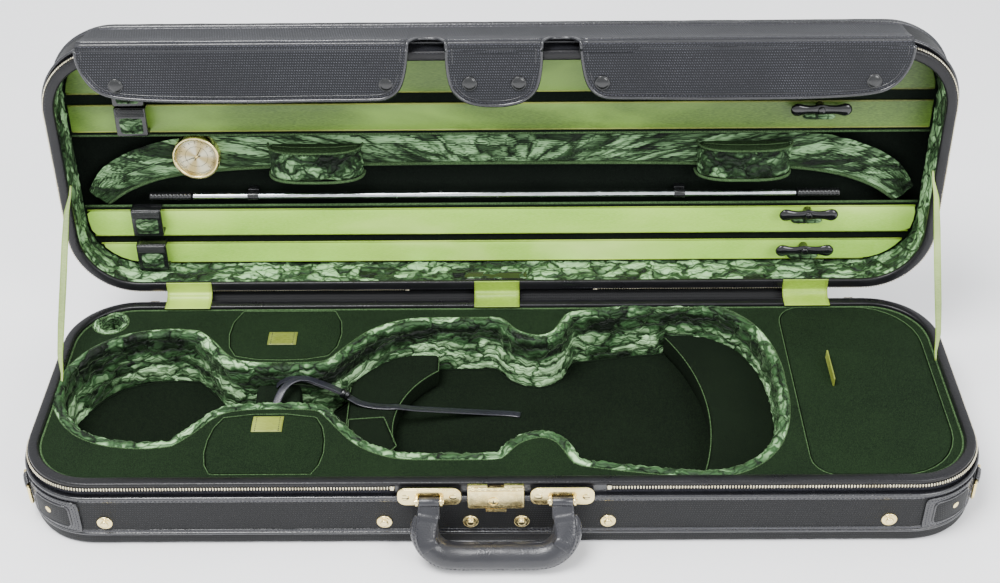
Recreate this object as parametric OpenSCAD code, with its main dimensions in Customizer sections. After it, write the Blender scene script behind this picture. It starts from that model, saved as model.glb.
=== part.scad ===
// Oblong violin case, shown open: a padded base with a violin-shaped well and
// three lidded pockets, and a lid with bow boards, held open by two stays.
// Origin: centre of the base's bottom face. +X along the case, +Y to the hinge, +Z up.

/* [Case] */
// Length of the case over its walls
case_l = 800; // [780:1:830]
// Depth of the case over its walls, front to back
case_d = 250; // [246:1:270]
// Height of the base's rim
base_h = 65; // [63:1:75]
// Height of the lid over its rim plane
lid_h = 57; // [54:1:66]
// Outer radius of the case's corners
corner_r = 62; // [55:1:70]
// Thickness of the plywood and foam walls
wall = 6; // [5:0.5:7]
// Thickness of the bottom panel and of the lid's top panel
panel = 4; // [3:0.5:5]

/* [Lid] */
// Angle at which the stays hold the lid open
open_angle = 93; // [90:1:98]
// How far the hinge pins stand behind the back wall
hinge_out = 3; // [2.9:0.1:4]
// Depth of the bow boards below the lid's rim plane
board_h = 36; // [32:1:38]

/* [Deck] */
// Height of the deck's velour surface
deck_z = 61.5; // [60:0.5:61.5]
// Front-to-back place of the violin's centre line
well_y = 4; // [2:0.5:5]
// Height of the well's padded floor
well_floor_z = 7; // [6:0.5:9]
// Height of the support under the upper bouts
upper_block_z = 27; // [22:1:32]
// Height of the support under the lower bouts
lower_block_z = 30; // [24:1:34]

/* [Handle] */
// Place of the handle, lock and hinges along the case, from its middle
mid_x = -4; // [-6:1:0]
// Lean of the resting handle, outward from straight down
handle_lean = 25; // [22:1:30]
// Radius of the padded grip
grip_r = 12; // [10:0.5:12]

/* [Flap] */
// Length of the flap's side lobes below its bend
flap_l = 52; // [46:1:53]
// Tilt of the hanging flap, outward from straight down
flap_tilt = 8; // [6:1:10]

/* [Hidden] */
$fn = 48;

// rim, lips and piping
lip_inset = 3;
lip_w = 9;
lip_t = 3;
rim_gap = 0.8;
band_z = base_h - 15;
step_h = 15;
pipe_out = 1.5;
pipe_t = 3.4;
bottom_pipe_z = 10;
zip_drop = 5;
zip_w = 3;
zip_inset = 1.2;
zip_half_gap = 85;
zip_back_x = 334;

// hinge
hinge_y = case_d/2 + hinge_out;
hinge_z = base_h;
hinge_x = [mid_x - 288, mid_x, mid_x + 288];
hinge_w = 36;
knuckle_r = 2.5;
pin_r = 1.2;
pin_gap = 0.05;
leaf_t = 1.4;
leaf_v = hinge_out + lip_inset;
knuckle_w = 5.9;
knuckle_gap = 12.1;
ribbon_w = 42;

// hollow inside the walls
deck_t = 3;
fit_gap = 0.3;
lining_t = 3;

// pockets
pocket_t = 2;
pocket_floor_z = panel + 2;
lid_t = 2.2;
lid_gap = 0.7;
hinge_slot = 3.2;
rear_c = -197;
front_c = -197.5;
rear_hinge_y = 108.5;
front_hinge_y = -106;
end_x = [257, 378];
end_y = 58;
end_r = 52;
end_fillet = 20;
tab_w = 26;
tab_t = 1.2;
round_well = [-360.5, 93.5];
round_r = 12;
round_panel = [-344, 77];
seam = 0.1;
cup_t = 1.4;
cup_h = 30;

// front hardware
stud_x = [21, 92, 323];
stud_z = 24.5;
bracket_x = 54;
pivot_y = -case_d/2 - 7.5;
pivot_z = 54;
strap_w = 17;
handle_pin_r = 2;
grip_l = (pivot_z - grip_r)/cos(handle_lean);

// flap
root_out = 8;
flap_h0 = -6;
flap_t = 2;
lobe_gap = [41.5, 73];
lobe_end = 353;
centre_drop = 5;
snap_down = 36;
root_top = 42;
root_split = 14;

// lid interior, v = distance from the hinge towards the lid's free edge
upper_board = [153, case_d];
lower_board = [0, 78];
strip_v = [[157, 184], [195, 243], [47, 75], [14, 39]];
border_inset = 11;
turner_x = 285;
turner_v = [180, 214, 71, 32];
turner_half = 21.5;
clip_x = -328;
cushion_x = [-168, 222];
tube_v = 86;
tube_r = 3.2;
tube_h = 41;
tube_x = [-327, 315];
hygro = [-276.5, 131];
hygro_r = 21.8;

// shoulder strap corners
ring_angle = 21;
ring_r = 12;
ring_wire = 1.6;
ring_z = 36;
patch_t = 1.6;

// small parts of the well and of the lid
cradle_x = [-218, -178];
cradle_z = 45;
strip_t = 1.6;
lining_half = 1.5;
band_face = 42;
clip_v = [173, 203, 68, 30];
clip_half = 14;
clip_h = 12;
clip_t = 3;
cushion_v = [110, 143];
cushion_h = 23;

black = [0.10, 0.10, 0.12];
leather = [0.16, 0.17, 0.20];
gold = [0.85, 0.75, 0.45];
velour = [0.12, 0.28, 0.17];
velvet = [0.28, 0.52, 0.33];
satin = [0.64, 0.78, 0.45];

// ---------- plan shapes ----------
function arc(c, r, a0, a1, n) =
    [for (i = [0:n]) let (a = a0 + (a1 - a0)*i/n) c + r*[cos(a), sin(a)]];

function rounded(l, d, r, n = 12) = concat(
    arc([l/2 - r, d/2 - r], r, 0, 90, n), arc([r - l/2, d/2 - r], r, 90, 180, n),
    arc([r - l/2, r - d/2], r, 180, 270, n), arc([l/2 - r, r - d/2], r, 270, 360, n));

// case outline moved inward by i
function case_outline(i = 0) = rounded(case_l - 2*i, case_d - 2*i, corner_r - i);

// smooth curve through the points p, with m steps to each
function smooth(p, m = 3) = let (n = len(p) - 1) [for (i = [0:n - 1], k = [0:m - 1])
    let (t = k/m, a = p[max(i - 1, 0)], b = p[i], c = p[i + 1], d = p[min(i + 2, n)])
    0.5*(2*b + t*(c - a) + t*t*(2*a - 5*b + 4*c - d) + t*t*t*(3*b - a - 3*c + d))];

// half outline of the violin well: scroll, neck, upper bout, waist, lower bout
scroll_half = [[-384, 0], [-380, 20], [-363, 48], [-338, 65], [-305, 71], [-280, 69]];
neck_half = [[-280, 69], [-266, 54], [-252, 36], [-234, 25], [-200, 22], [-165, 23],
    [-150, 28], [-136, 45], [-118, 67], [-100, 79], [-80, 85], [-50, 86], [-4, 86]];
waist_half = [[-4, 86], [8, 70], [24, 61], [40, 60], [55, 70], [67, 94]];
lower_half = [[67, 94], [100, 100], [135, 105], [165, 108], [187, 106], [207, 96],
    [224, 78], [235, 52], [240, 22], [240, 0]];
half_outline = concat(smooth(scroll_half), smooth(neck_half), smooth(waist_half),
    smooth(lower_half), [[240, 0]]);
half_n = len(half_outline);
well_outline = concat([for (p = half_outline) [p[0], well_y + p[1]]],
    [for (i = [half_n - 2:-1:1]) [half_outline[i][0], well_y - half_outline[i][1]]]);

// outline p moved outward by g along its normals
function grow(p, g) = let (n = len(p)) [for (i = [0:n - 1])
    let (d = p[(i + 1) % n] - p[(i + n - 1) % n]) p[i] + g*[-d[1], d[0]]/norm(d)];

// the range of half-width w about c
function about(c, w) = [c - w, c + w];

// half of an outline, as [half width, y] rows, drawn on both sides of x = c
function both_sides(c, rows) = let (n = len(rows)) concat([for (p = rows) [c - p[0], p[1]]],
    [for (i = [n - 1:-1:0]) [c + rows[i][0], rows[i][1]]]);

// children moved to the middle of the lock, handle and hinges
module at_mid() {
    translate([mid_x, 0, 0]) children();
}

module ring(outer, inner, z, h) {
    translate([0, 0, z]) linear_extrude(h) difference() {
        polygon(outer);
        polygon(inner);
    }
}

module slab(outline, z, h) {
    translate([0, 0, z]) linear_extrude(h) polygon(outline);
}

module box(x, y, z) {
    translate([x[0], y[0], z[0]]) cube([x[1] - x[0], y[1] - y[0], z[1] - z[0]]);
}

// cylinder of radius r and length l, centred at p, lying along X
module rod_x(p, r, l) {
    translate(p) rotate([0, 90, 0]) cylinder(h = l, r = r, center = true);
}

// prism along X of a profile of [y, z] points
module profile_x(points, x0, x1) {
    translate([x0, 0, 0]) rotate([90, 0, 90]) linear_extrude(x1 - x0) polygon(points);
}

// draws in the closed lid's frame, swung open: [x, v, h] with v from the hinge
// towards the free edge, and h up from the rim plane
module in_lid() {
    translate([0, hinge_y, hinge_z]) rotate([-open_angle, 0, 0]) mirror([0, 1, 0]) children();
}

// the case's outline in the lid's frame
module lid_plan() {
    translate([0, hinge_y, 0]) children();
}

// closed tube with an elliptic section along a route; w and t are its half sizes
function unit(v) = v/norm(v);
module ribbon(route, w, t, sides = 8, up = [0, 0, 1]) {
    n = len(route);
    dirs = [for (i = [0:n - 1]) unit(route[min(i + 1, n - 1)] - route[max(i - 1, 0)])];
    points = [for (i = [0:n - 1], k = [0:sides - 1])
        let (side = unit(cross(dirs[i], up)), top = cross(side, dirs[i]), a = 360*k/sides)
        route[i] + w[i]*cos(a)*side + t[i]*sin(a)*top];
    walls = [for (i = [0:n - 2], k = [0:sides - 1]) let (j = (k + 1) % sides)
        [i*sides + k, i*sides + j, (i + 1)*sides + j, (i + 1)*sides + k]];
    caps = [[for (k = [sides - 1:-1:0]) k], [for (k = [0:sides - 1]) (n - 1)*sides + k]];
    polyhedron(points, concat(walls, caps));
}

// ---------- base ----------
module base_shell() {
    color(leather) difference() {
        union() {
            slab(case_outline(0), 0, band_z);
            slab(case_outline(lip_inset), 0, base_h - lip_t);
        }
        slab(case_outline(wall), panel, base_h);
    }
}

// butt joint round the corner that holds the round well
module corner_seam(z) {
    difference() {
        box([-case_l, round_panel[0]], [round_panel[1], case_d], z);
        box([-case_l, round_panel[0] - seam], [round_panel[1] + seam, case_d],
            [z[0] - 1, z[1] + 1]);
    }
}

module base_lip() {
    z = base_h - lip_t;
    color([0.33, 0.32, 0.36]) difference() {
        ring(case_outline(lip_inset), case_outline(lip_inset + lip_w), z, lip_t);
        corner_seam([z - 1, base_h + 1]);
    }
}

// half of the zip's place on a wall, between the handle and the hinge
module zip_run() {
    translate([0, 0, -case_d]) linear_extrude(2*case_d) difference() {
        square([case_l + 20, case_d + 20], center = true);
        translate([-zip_half_gap, -case_d]) square([2*zip_half_gap, case_d]);
        translate([-zip_back_x, 0]) square([2*zip_back_x, case_d]);
    }
}

module base_piping() {
    color(leather) {
        ring(case_outline(-pipe_out), case_outline(lip_inset), band_z, pipe_t);
        ring(case_outline(-pipe_out), case_outline(0), bottom_pipe_z, pipe_t);
    }
}

module base_zip() {
    color(gold) intersection() {
        ring(case_outline(zip_inset), case_outline(lip_inset), base_h - zip_drop - zip_w/2,
            zip_w);
        zip_run();
    }
}

// plan shapes of the pocket lids: straight at the hinge, and bulging at the sides
rear_plan = both_sides(rear_c, [[42.5, rear_hinge_y], [48.5, 93], [50, 76], [47.5, 58], [41, 46],
    [22, 41.5], [0.5, 40.5]]);
front_plan = both_sides(front_c, [[41.5, front_hinge_y], [46, -96], [48.5, -82], [48, -66],
    [45, -51], [39, -39], [14, -35]]);
end_plan = concat(arc([end_x[0] + end_fillet, 90], end_fillet, 90, 180, 5),
    arc([end_x[0] + end_fillet, -90], end_fillet, 180, 270, 5),
    arc([end_x[1] - end_r, -end_y], end_r, -90, 0, 8),
    arc([end_x[1] - end_r, end_y], end_r, 0, 90, 8));

module pocket_cut(plan, z, h, g = 0) {
    translate([0, 0, z]) linear_extrude(h) polygon(grow(plan, g));
}

module deck() {
    z = deck_z - deck_t;
    color(velour) difference() {
        slab(case_outline(wall + fit_gap), z, deck_t);
        slab(well_outline, z - 1, deck_t + 2);
        pocket_cut(rear_plan, z - 1, deck_t + 2, -lid_gap);
        box(about(rear_c, 43.2), [rear_hinge_y - 1, rear_hinge_y + hinge_slot],
            [z - 1, deck_z + 1]);
        pocket_cut(front_plan, z - 1, deck_t + 2, lid_gap);
        box(about(front_c, 42.2), [front_hinge_y - hinge_slot, front_hinge_y + 1],
            [z - 1, deck_z + 1]);
        pocket_cut(end_plan, z - 1, deck_t + 2, -lid_gap);
        box([end_x[1] - 1, end_x[1] + hinge_slot], [-end_y, end_y], [z - 1, deck_z + 1]);
        translate([round_well[0], round_well[1], z - 1])
            cylinder(h = deck_t + 2, r = round_r);
        corner_seam([z - 1, deck_z + 1]);
    }
}

module well_lining() {
    color(velvet) ring(grow(well_outline, lining_t), well_outline, panel,
        deck_z - deck_t - panel);
}

module well_floor() {
    color(velour) slab(well_outline, panel, well_floor_z - panel);
}

// solid part of the well between heights z0 and z1, kept inside the children
module in_well(z0, z1) {
    intersection() {
        slab(well_outline, z0, z1 - z0);
        children();
    }
}

module neck_cradle() {
    color(velour) difference() {
        in_well(well_floor_z, cradle_z) box(cradle_x, [-60, 60], [0, base_h]);
        rod_x([-198, well_y, cradle_z + 28], 30, 60);
    }
}

module bout_blocks() {
    color(velour) {
        in_well(well_floor_z, upper_block_z) difference() {
            box([-137, -58], [-120, 120], [0, base_h]);
            translate([0, -12, -1]) cylinder(h = base_h, r = 96, $fn = 128);
        }
        in_well(upper_block_z, upper_block_z + 11) linear_extrude(base_h)
            polygon([[-134, -14], [-103, -11], [-90, -48], [-130, -100]]);
        in_well(well_floor_z, lower_block_z) difference() {
            box([150, 260], [-120, 130], [0, base_h]);
            translate([-40, -5, -1]) cylinder(h = base_h, r = 224, $fn = 200);
        }
    }
}

module pocket_liner(plan, side) {
    difference() {
        pocket_cut(plan, panel, deck_z - deck_t - panel, side);
        pocket_cut(plan, pocket_floor_z, deck_z, side - sign(side)*pocket_t);
    }
}

module pocket_liners() {
    color(velour) {
        pocket_liner(rear_plan, -1);
        pocket_liner(front_plan, 1);
        pocket_liner(end_plan, -1);
    }
}

module round_well_cup() {
    color(velvet) translate([round_well[0], round_well[1], deck_z - cup_h]) difference() {
        cylinder(h = cup_h, r = round_r);
        translate([0, 0, lining_t]) cylinder(h = cup_h, r = round_r - cup_t);
    }
}

module lid_plate(plan) {
    color(velour) pocket_cut(plan, deck_z - lid_t, lid_t);
}

module rear_pocket_lid() {
    lid_plate(rear_plan);
    color(satin) box(about(rear_c - 2, tab_w/2), [60, 79], [deck_z, deck_z + tab_t]);
}

module front_pocket_lid() {
    lid_plate(front_plan);
    color(satin) box(about(front_c - 1, tab_w/2), [-56, -36.5], [deck_z, deck_z + tab_t]);
}

module end_pocket_lid() {
    lid_plate(end_plan);
    color(satin) box(about(290, tab_t/2), [-1, 39], [deck_z, deck_z + 9]);
}

// ---------- front hardware ----------
// y of the faces: the wall's, the plates' back and the plates' front
front = -case_d/2;
plate_back = front - pipe_out - 0.1;
plate_face = plate_back - 1.6;
rim_face = front + lip_inset;

module lock_plate() {
    color(gold) at_mid() difference() {
        union() {
            box([-23, 23], [plate_face, plate_back], [42, base_h]);
            box([-23, 23], [plate_back, rim_face], [band_z + pipe_t + 0.1, base_h]);
        }
        box([-7, 7], [front - 0.7, rim_face - 0.4], [56, base_h + 1]);
        translate([-2, front, 50]) rotate([90, 0, 0]) cylinder(h = 5, r = 3.05);
    }
}

module lock_button() {
    color(gold) at_mid() {
        box([-8.5, 8.5], [plate_face, plate_back + 0.2], [38.4, 41.7]);
        box([-5, 5], [plate_back + 0.2, front - 0.3], [38.4, 48]);
    }
}

module lock_cylinder() {
    color(gold) translate([mid_x - 2, plate_back - 0.1, 50]) rotate([90, 0, 0]) difference() {
        cylinder(h = 2, r = 3);
        translate([-0.5, -2, 1]) cube([1, 4, 2]);
    }
}

module handle_brackets() {
    color(gold) at_mid() for (s = [-1, 1]) {
        difference() {
            union() {
                box(about(s*bracket_x, 26), [plate_face, plate_back], [46, 64.5]);
                box(about(s*bracket_x, 26), [plate_back, front], [46, band_z - 0.1]);
                box(about(s*bracket_x, 26), [plate_back, rim_face],
                    [band_z + pipe_t + 0.1, 64.5]);
                for (k = [-1, 1]) {
                    x = s*bracket_x + k*(strap_w/2 + 1.4);
                    box(about(x, 1), [pivot_y, plate_face], about(pivot_z, 3.8));
                    rod_x([x, pivot_y, pivot_z], 3.8, 2);
                }
            }
            rod_x([s*bracket_x, pivot_y, pivot_z], handle_pin_r, 30);
        }
        rod_x([s*bracket_x, pivot_y, pivot_z], handle_pin_r, strap_w + 7);
    }
}

// the handle's own frame: its pivot at the origin, hanging straight down
module in_handle() {
    translate([mid_x, pivot_y, pivot_z]) rotate([-handle_lean, 0, 0]) children();
}

// loops of strap that turn on the bracket pins
module straps() {
    for (s = [-1, 1]) difference() {
        union() {
            rod_x([s*bracket_x, 0, 0], 4, strap_w);
            box(about(s*bracket_x, strap_w/2), [-2, 2], [-12.5, -2]);
        }
        rod_x([s*bracket_x, 0, 0], handle_pin_r + 0.06, strap_w + 2);
    }
}

// centre line of half the handle's grip, from its arm's top to the middle
grip_half = smooth([[57, -12.5], [58, -20], [57.5, -29], [52.5, -38], [43, -44.5],
    [30, -grip_l], [12, -grip_l], [0, -grip_l]], 2);
grip_n = len(grip_half);
function grip_w(i) = min(grip_r, 8.5 + 1.6*i);
function grip_t(i) = min(grip_r, 3 + 1.6*i);

module handle() {
    order = concat([for (i = [0:grip_n - 1]) i], [for (i = [grip_n - 1:-1:0]) i]);
    sides = concat([for (i = [0:grip_n - 1]) 1], [for (i = [0:grip_n - 1]) -1]);
    route = [for (k = [0:2*grip_n - 1]) let (p = grip_half[order[k]])
        [sides[k]*p[0], 0, p[1]]];
    color(leather) in_handle() {
        straps();
        ribbon(route, [for (i = order) grip_w(i)], [for (i = order) grip_t(i)], 16,
            [0, 1, 0]);
    }
}

// local frame at a front corner: +X outward at an angle a past the end wall
module at_corner(s, a) {
    translate([s*(case_l/2 - corner_r), corner_r - case_d/2, 0])
        rotate(s < 0 ? 180 + a : -a) children();
}

module brass_screws() {
    color(gold) {
        for (s = [-1, 1], x = [34.5, 73.5])
            translate([mid_x + s*x, plate_face, 55]) rotate([90, 0, 0])
                cylinder(h = 1.2, r = 3.6);
        for (s = [-1, 1])
            at_corner(s, 55) translate([corner_r + patch_t, 0, 31]) rotate([0, 90, 0])
                cylinder(h = 1.2, r = 3.8);
    }
}

module front_studs() {
    color(gold) for (s = [-1, 1], x = stud_x) translate([mid_x + s*x, front, stud_z])
        rotate([90, 0, 0]) {
            cylinder(h = 1.2, r = 6.5);
            translate([0, 0, 1.2]) cylinder(h = 2.6, r = 3.4);
        }
}

module corner_patches() {
    color(leather) for (s = [-1, 1]) {
        at_corner(s, s < 0 ? 33 : 82) rotate_extrude(angle = 49, $fn = 120)
            translate([corner_r, 13.6]) square([patch_t, 33]);
        at_corner(s, ring_angle) difference() {
            box([corner_r, corner_r + 5.6], [-7, 7], about(ring_z, 3.4));
            translate([corner_r + 2.8, 0, ring_z]) rotate([90, 0, 0])
                cylinder(h = 20, r = ring_wire + 0.06, center = true);
        }
    }
}

// D-ring hanging from its straight bar
module d_ring(s) {
    color(gold) at_corner(s, ring_angle) translate([corner_r + 2.8, 0, ring_z]) {
        rotate([90, 0, 0]) cylinder(h = 2*ring_r, r = ring_wire, center = true);
        for (k = [-1, 1]) translate([0, k*ring_r, -9]) cylinder(h = 9, r = ring_wire);
        for (k = [-1, 1]) translate([0, k*ring_r, 0]) sphere(r = ring_wire);
        translate([0, 0, -9]) rotate([0, 90, 0]) rotate([0, 0, -90])
            rotate_extrude(angle = 180) translate([ring_r, 0]) circle(r = ring_wire);
    }
}

module d_ring_left() {
    d_ring(-1);
}

module d_ring_right() {
    d_ring(1);
}

module zip_sliders() {
    color(gold) for (s = [-1, 1]) translate([s*325, -rim_face, 0]) {
        box([-4, 4], [0, 3.4], [55.5, 62.5]);
        box([-1.5, 1.5], [3.4, 6], [57, 59]);
        box([-3, 3], [4.8, 6], [38, 57]);
    }
}

// ---------- neck tie ----------
tie_route = [[-200, 22, 46], [-196, 22, 50], [-190, 21, 54], [-182, 20, 56], [-173, 20, 55],
    [-163, 20, 50], [-153, 20, 45], [-146, 20, 41], [-140, 20, 37], [-133, 18, 33],
    [-126, 16, 30], [-115, 14, 28.5], [-103, 13, 28], [-92, 13, 28], [-78, 15, 24],
    [-62, 18, 20], [-45, 21, 16], [-28, 24, 12], [-12, 26, 9], [4, 26, 8], [17, 24, 8]];
loop_route = [[-198, -12, 46], [-197, -6, 49], [-195, 1, 52], [-192, 7, 55], [-187, 13, 57],
    [-180, 17, 58], [-172, 19, 56.8], [-163, 20, 51.8], [-153, 20, 46.8], [-146, 20, 42.8],
    [-141, 20, 39]];

module tie(route) {
    n = len(route);
    color(black) ribbon(route, [for (i = [1:n]) 3.5], [for (i = [1:n]) 0.8]);
}

module neck_ribbon() {
    tie(tie_route);
}

module neck_ribbon_loop() {
    tie(loop_route);
}

module ribbon_toggle() {
    color(black) translate([-140, 20, 37.4]) rotate([0, 32, 0])
        rod_x([0, 0, 0], 4.6, 9);
}

// ---------- hinge ----------
module leaf(base) {
    for (x = hinge_x) difference() {
        union() {
            box(about(x, hinge_w/2), [leaf_v - leaf_t, leaf_v], [-11, -knuckle_r]);
            for (k = base ? [-knuckle_gap, knuckle_gap] : [0]) {
                box(about(x + k, knuckle_w), [0, leaf_v], [-knuckle_r, -1.1]);
                rod_x([x + k, 0, 0], knuckle_r, 2*knuckle_w);
            }
        }
        rod_x([x, 0, 0], pin_r + pin_gap, hinge_w + 2);
    }
}

module hinge_leaves_base() {
    color(gold) translate([0, hinge_y, hinge_z]) mirror([0, 1, 0]) leaf(true);
}

module hinge_leaves_lid() {
    color(gold) in_lid() mirror([0, 0, 1]) leaf(false);
}

module hinge_pins() {
    color(gold) for (x = hinge_x) rod_x([x, hinge_y, hinge_z], pin_r, hinge_w - 0.4);
}

// place in the Y-Z plane of a point at v, h in the open lid
function lid_yz(v, h) = [hinge_y - v*cos(open_angle) + h*sin(open_angle),
    hinge_z + v*sin(open_angle) + h*cos(open_angle)];

// outline of a strip of thickness t along the points p
function strip(p, t) = let (n = len(p), normals = [for (i = [0:n - 1])
    let (d = unit(p[min(i + 1, n - 1)] - p[max(i - 1, 0)])) t/2*[-d[1], d[0]]])
    concat(p + normals, [for (i = [n - 1:-1:0]) p[i] - normals[i]]);

module spine_cover() {
    back = case_d/2 + pipe_out + 1.2;
    color(leather) profile_x(strip([[back, base_h - 19], [back + 0.4, base_h - 10],
        [back + 3, base_h - 5], [back + 6, base_h - 2], [back + 10, base_h - 0.9],
        [back + 21, base_h - 1]], 1), mid_x - 310, mid_x + 310);
}

module hinge_ribbons() {
    lip_y = case_d/2 - lip_inset;
    color(satin) for (x = hinge_x) profile_x(strip([[lip_y - lip_w - 0.5, base_h + 0.4],
        [lip_y + 1, base_h + 0.4], [lip_y + 3.2, base_h + 1.9], [lip_y + 4.9, base_h + 3.6],
        lid_yz(5, 0.2), lid_yz(16, 0.2)], 0.6), x - ribbon_w/2, x + ribbon_w/2);
}

// one stay: it leaves the deck's edge at y, and the lid's edge at v on side s
module stay(s, y, v) {
    top = lid_yz(v, 4.5);
    ends = [s*386.4, s*389];
    function at(t, x) = [x, y + (top[0] - y)*t, deck_z + 0.4 + (top[1] - deck_z - 0.4)*t];
    ribbon([at(0, ends[0]), at(0.05, ends[0]), at(0.14, ends[1]), at(0.5, ends[1]),
        at(0.86, ends[1]), at(0.95, ends[0]), at(1, ends[0])],
        [0.8, 0.9, 2.4, 3, 2.4, 0.9, 0.8], [for (i = [1:7]) 0.6]);
}

module lid_stays() {
    color(satin) {
        stay(-1, 8, 119);
        stay(1, 33, 129);
    }
}

// ---------- lid ----------
module lid_shell() {
    color(leather) in_lid() lid_plan() difference() {
        union() {
            slab(case_outline(0), step_h, lid_h - step_h);
            slab(case_outline(lip_inset), rim_gap + lip_t, lid_h - 20);
        }
        slab(case_outline(wall), 0, lid_h - panel);
    }
}

module lid_lip() {
    color([0.33, 0.32, 0.36]) in_lid() lid_plan()
        ring(case_outline(lip_inset), case_outline(lip_inset + lip_w), rim_gap, lip_t);
}

module lid_piping() {
    color(leather) in_lid() lid_plan() {
        ring(case_outline(-pipe_out), case_outline(lip_inset), step_h - pipe_t, pipe_t);
        ring(case_outline(-pipe_out), case_outline(0), lid_h - bottom_pipe_z, pipe_t);
    }
}

module lid_zip() {
    color(gold) in_lid() lid_plan() mirror([0, 1, 0]) intersection() {
        ring(case_outline(zip_inset), case_outline(lip_inset), zip_drop - 1, zip_w);
        zip_run();
    }
}

module lid_border() {
    color(velvet) in_lid() lid_plan() ring(case_outline(wall + 0.1),
        case_outline(border_inset), rim_gap + lip_t, board_h + 4 - rim_gap - lip_t);
}

module lid_back_panel() {
    color(black) in_lid() lid_plan()
        slab(case_outline(wall + 0.1), lid_h - panel - lining_half, lining_half);
}

// half edges of the arched band in the lid's recess, as [x, v]
arch_low = smooth([[-366, 78], [-342, 94], [-305, 107], [-250, 114], [-150, 118], [0, 119]]);
arch_high = smooth([[-382, 92], [-364, 117], [-325, 138], [-270, 148], [-150, 152], [0, 152]]);

module arch_band() {
    n = len(arch_high) - 1;
    m = len(arch_low) - 1;
    color(velvet) in_lid() translate([0, 0, band_face])
        linear_extrude(lid_h - panel - lining_half - band_face)
            polygon(concat([[-384, 78]], arch_high,
                [for (i = [n:-1:0]) [-arch_high[i][0], arch_high[i][1]]], [[384, 78]],
                [for (p = arch_low) [-p[0], p[1]]], [for (i = [m:-1:0]) arch_low[i]]));
}

// a board or strip across the lid between the v limits, inside the border
module across(v, h, t, inset) {
    in_lid() intersection() {
        lid_plan() slab(case_outline(inset), h, t);
        box([-case_l/2, case_l/2], v, [0, lid_h]);
    }
}

module bow_boards() {
    color(black) {
        across(upper_board, board_h, 4, border_inset + 0.1);
        across(lower_board, board_h, 4, border_inset + 0.1);
    }
}

module satin_strips() {
    color(satin) for (v = strip_v) across(v, board_h - strip_t, strip_t, border_inset + 3);
}

module bow_tip_clips() {
    top = board_h - strip_t;
    color(black) in_lid() for (v = clip_v) difference() {
        box(about(clip_x, clip_half), about(v, clip_half), [top - clip_h, top]);
        box([clip_x - clip_half + clip_t, clip_x + clip_half + 1],
            about(v, clip_half - clip_t), [top - clip_h + clip_t, top + 1]);
    }
}

module turner_pads() {
    color(velvet) in_lid() for (v = turner_v)
        box(about(turner_x, 15), [v - 13, v - 7], [board_h - strip_t - 5, board_h - strip_t]);
}

module turner(i) {
    top = board_h - strip_t;
    color(black) in_lid() translate([turner_x, turner_v[i], 0]) {
        translate([0, 0, top - 10]) cylinder(h = 9.7, r = 4);
        translate([0, 0, top - 12]) box(about(0, turner_half), [-4, 4], [0, 4.4]);
        for (s = [-1, 1]) translate([s*turner_half, 0, top - 12]) cylinder(h = 5, r = 6);
    }
}

module turner_1() {
    turner(0);
}

module turner_2() {
    turner(1);
}

module turner_3() {
    turner(2);
}

module turner_4() {
    turner(3);
}

// rounded block, wide and flat on the lid, that bears on the violin
module cushions() {
    color(velvet) in_lid() for (x = cushion_x)
        translate([x, cushion_v[0], band_face]) rotate([-90, 0, 0])
            linear_extrude(cushion_v[1] - cushion_v[0]) polygon([for (a = [0:7.5:180])
                [44*sign(cos(a))*pow(abs(cos(a)), 0.7), cushion_h*pow(sin(a), 0.7)]]);
}

module hygrometer_part(r, h0, h1, bore = 0) {
    in_lid() translate([hygro[0], hygro[1], h0]) difference() {
        cylinder(h = h1 - h0, r = r);
        if (bore > 0) translate([0, 0, -1]) cylinder(h = h1 - h0 + 2, r = bore);
    }
}

module hygrometer_case() {
    color(gold) {
        hygrometer_part(hygro_r, band_face - 11, band_face - 6, hygro_r - 2.5);
        hygrometer_part(hygro_r, band_face - 6, band_face);
    }
}

module hygrometer_dial() {
    color([0.9, 0.86, 0.7]) hygrometer_part(hygro_r - 2.5, band_face - 7, band_face - 6);
}

module hygrometer_glass() {
    color([0.8, 0.85, 0.85, 0.4])
        hygrometer_part(hygro_r - 2.5, band_face - 10.4, band_face - 9.2);
}

module string_tube() {
    color([0.75, 0.77, 0.78]) in_lid()
        rod_x([(tube_x[0] + tube_x[1])/2, tube_v, tube_h], tube_r, tube_x[1] - tube_x[0] - 80);
}

module tube_caps() {
    color(black) in_lid() {
        for (s = [0, 1]) rod_x([tube_x[s] + (s == 0 ? 20 : -20), tube_v, tube_h], 4, 40);
        for (x = [-230, 166]) difference() {
            box(about(x, 5), about(tube_v, 5.5), [tube_h - 1, lid_h - panel - lining_half]);
            rod_x([x, tube_v, tube_h], tube_r, 20);
        }
    }
}

module label_plate() {
    v = hinge_out + border_inset;
    color(black) in_lid() box(about(mid_x - 1, 29), [v, v + 0.8], [5, 18]);
}

module lock_catch() {
    v = hinge_y - front - lip_inset;
    color(gold) at_mid() in_lid() {
        box([-12, 12], [v, v + 1.2], [1, 11]);
        box([-5, 5], [v + 1.2, v + 2.4], [-5, 11]);
    }
}

// ---------- flap over the front ----------
wall_v = hinge_y + case_d/2;
bend_v = wall_v + root_out;

module flap_root() {
    color(leather) at_mid() in_lid() difference() {
        profile_x([[wall_v + 0.2, root_top], [wall_v + 3.2, root_split],
            [bend_v - 1, 4], [bend_v - 1, flap_h0 + 1.4], [bend_v + 1, flap_h0 + 1.4],
            [bend_v + 1, 5], [wall_v + 5.2, root_split + 2], [wall_v + 2.2, root_top]],
            -lobe_end, lobe_end);
        for (s = [-1, 1])
            box(about(s*(lobe_gap[0] + lobe_gap[1])/2, (lobe_gap[1] - lobe_gap[0])/2),
                [0, 2*case_d], [-20, root_split]);
    }
}

// the flap's frame: its bend at the origin, hanging straight down
module in_flap() {
    p = lid_yz(bend_v, flap_h0);
    translate([mid_x, p[0], p[1]]) rotate([-flap_tilt, 0, 0]) children();
}

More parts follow.
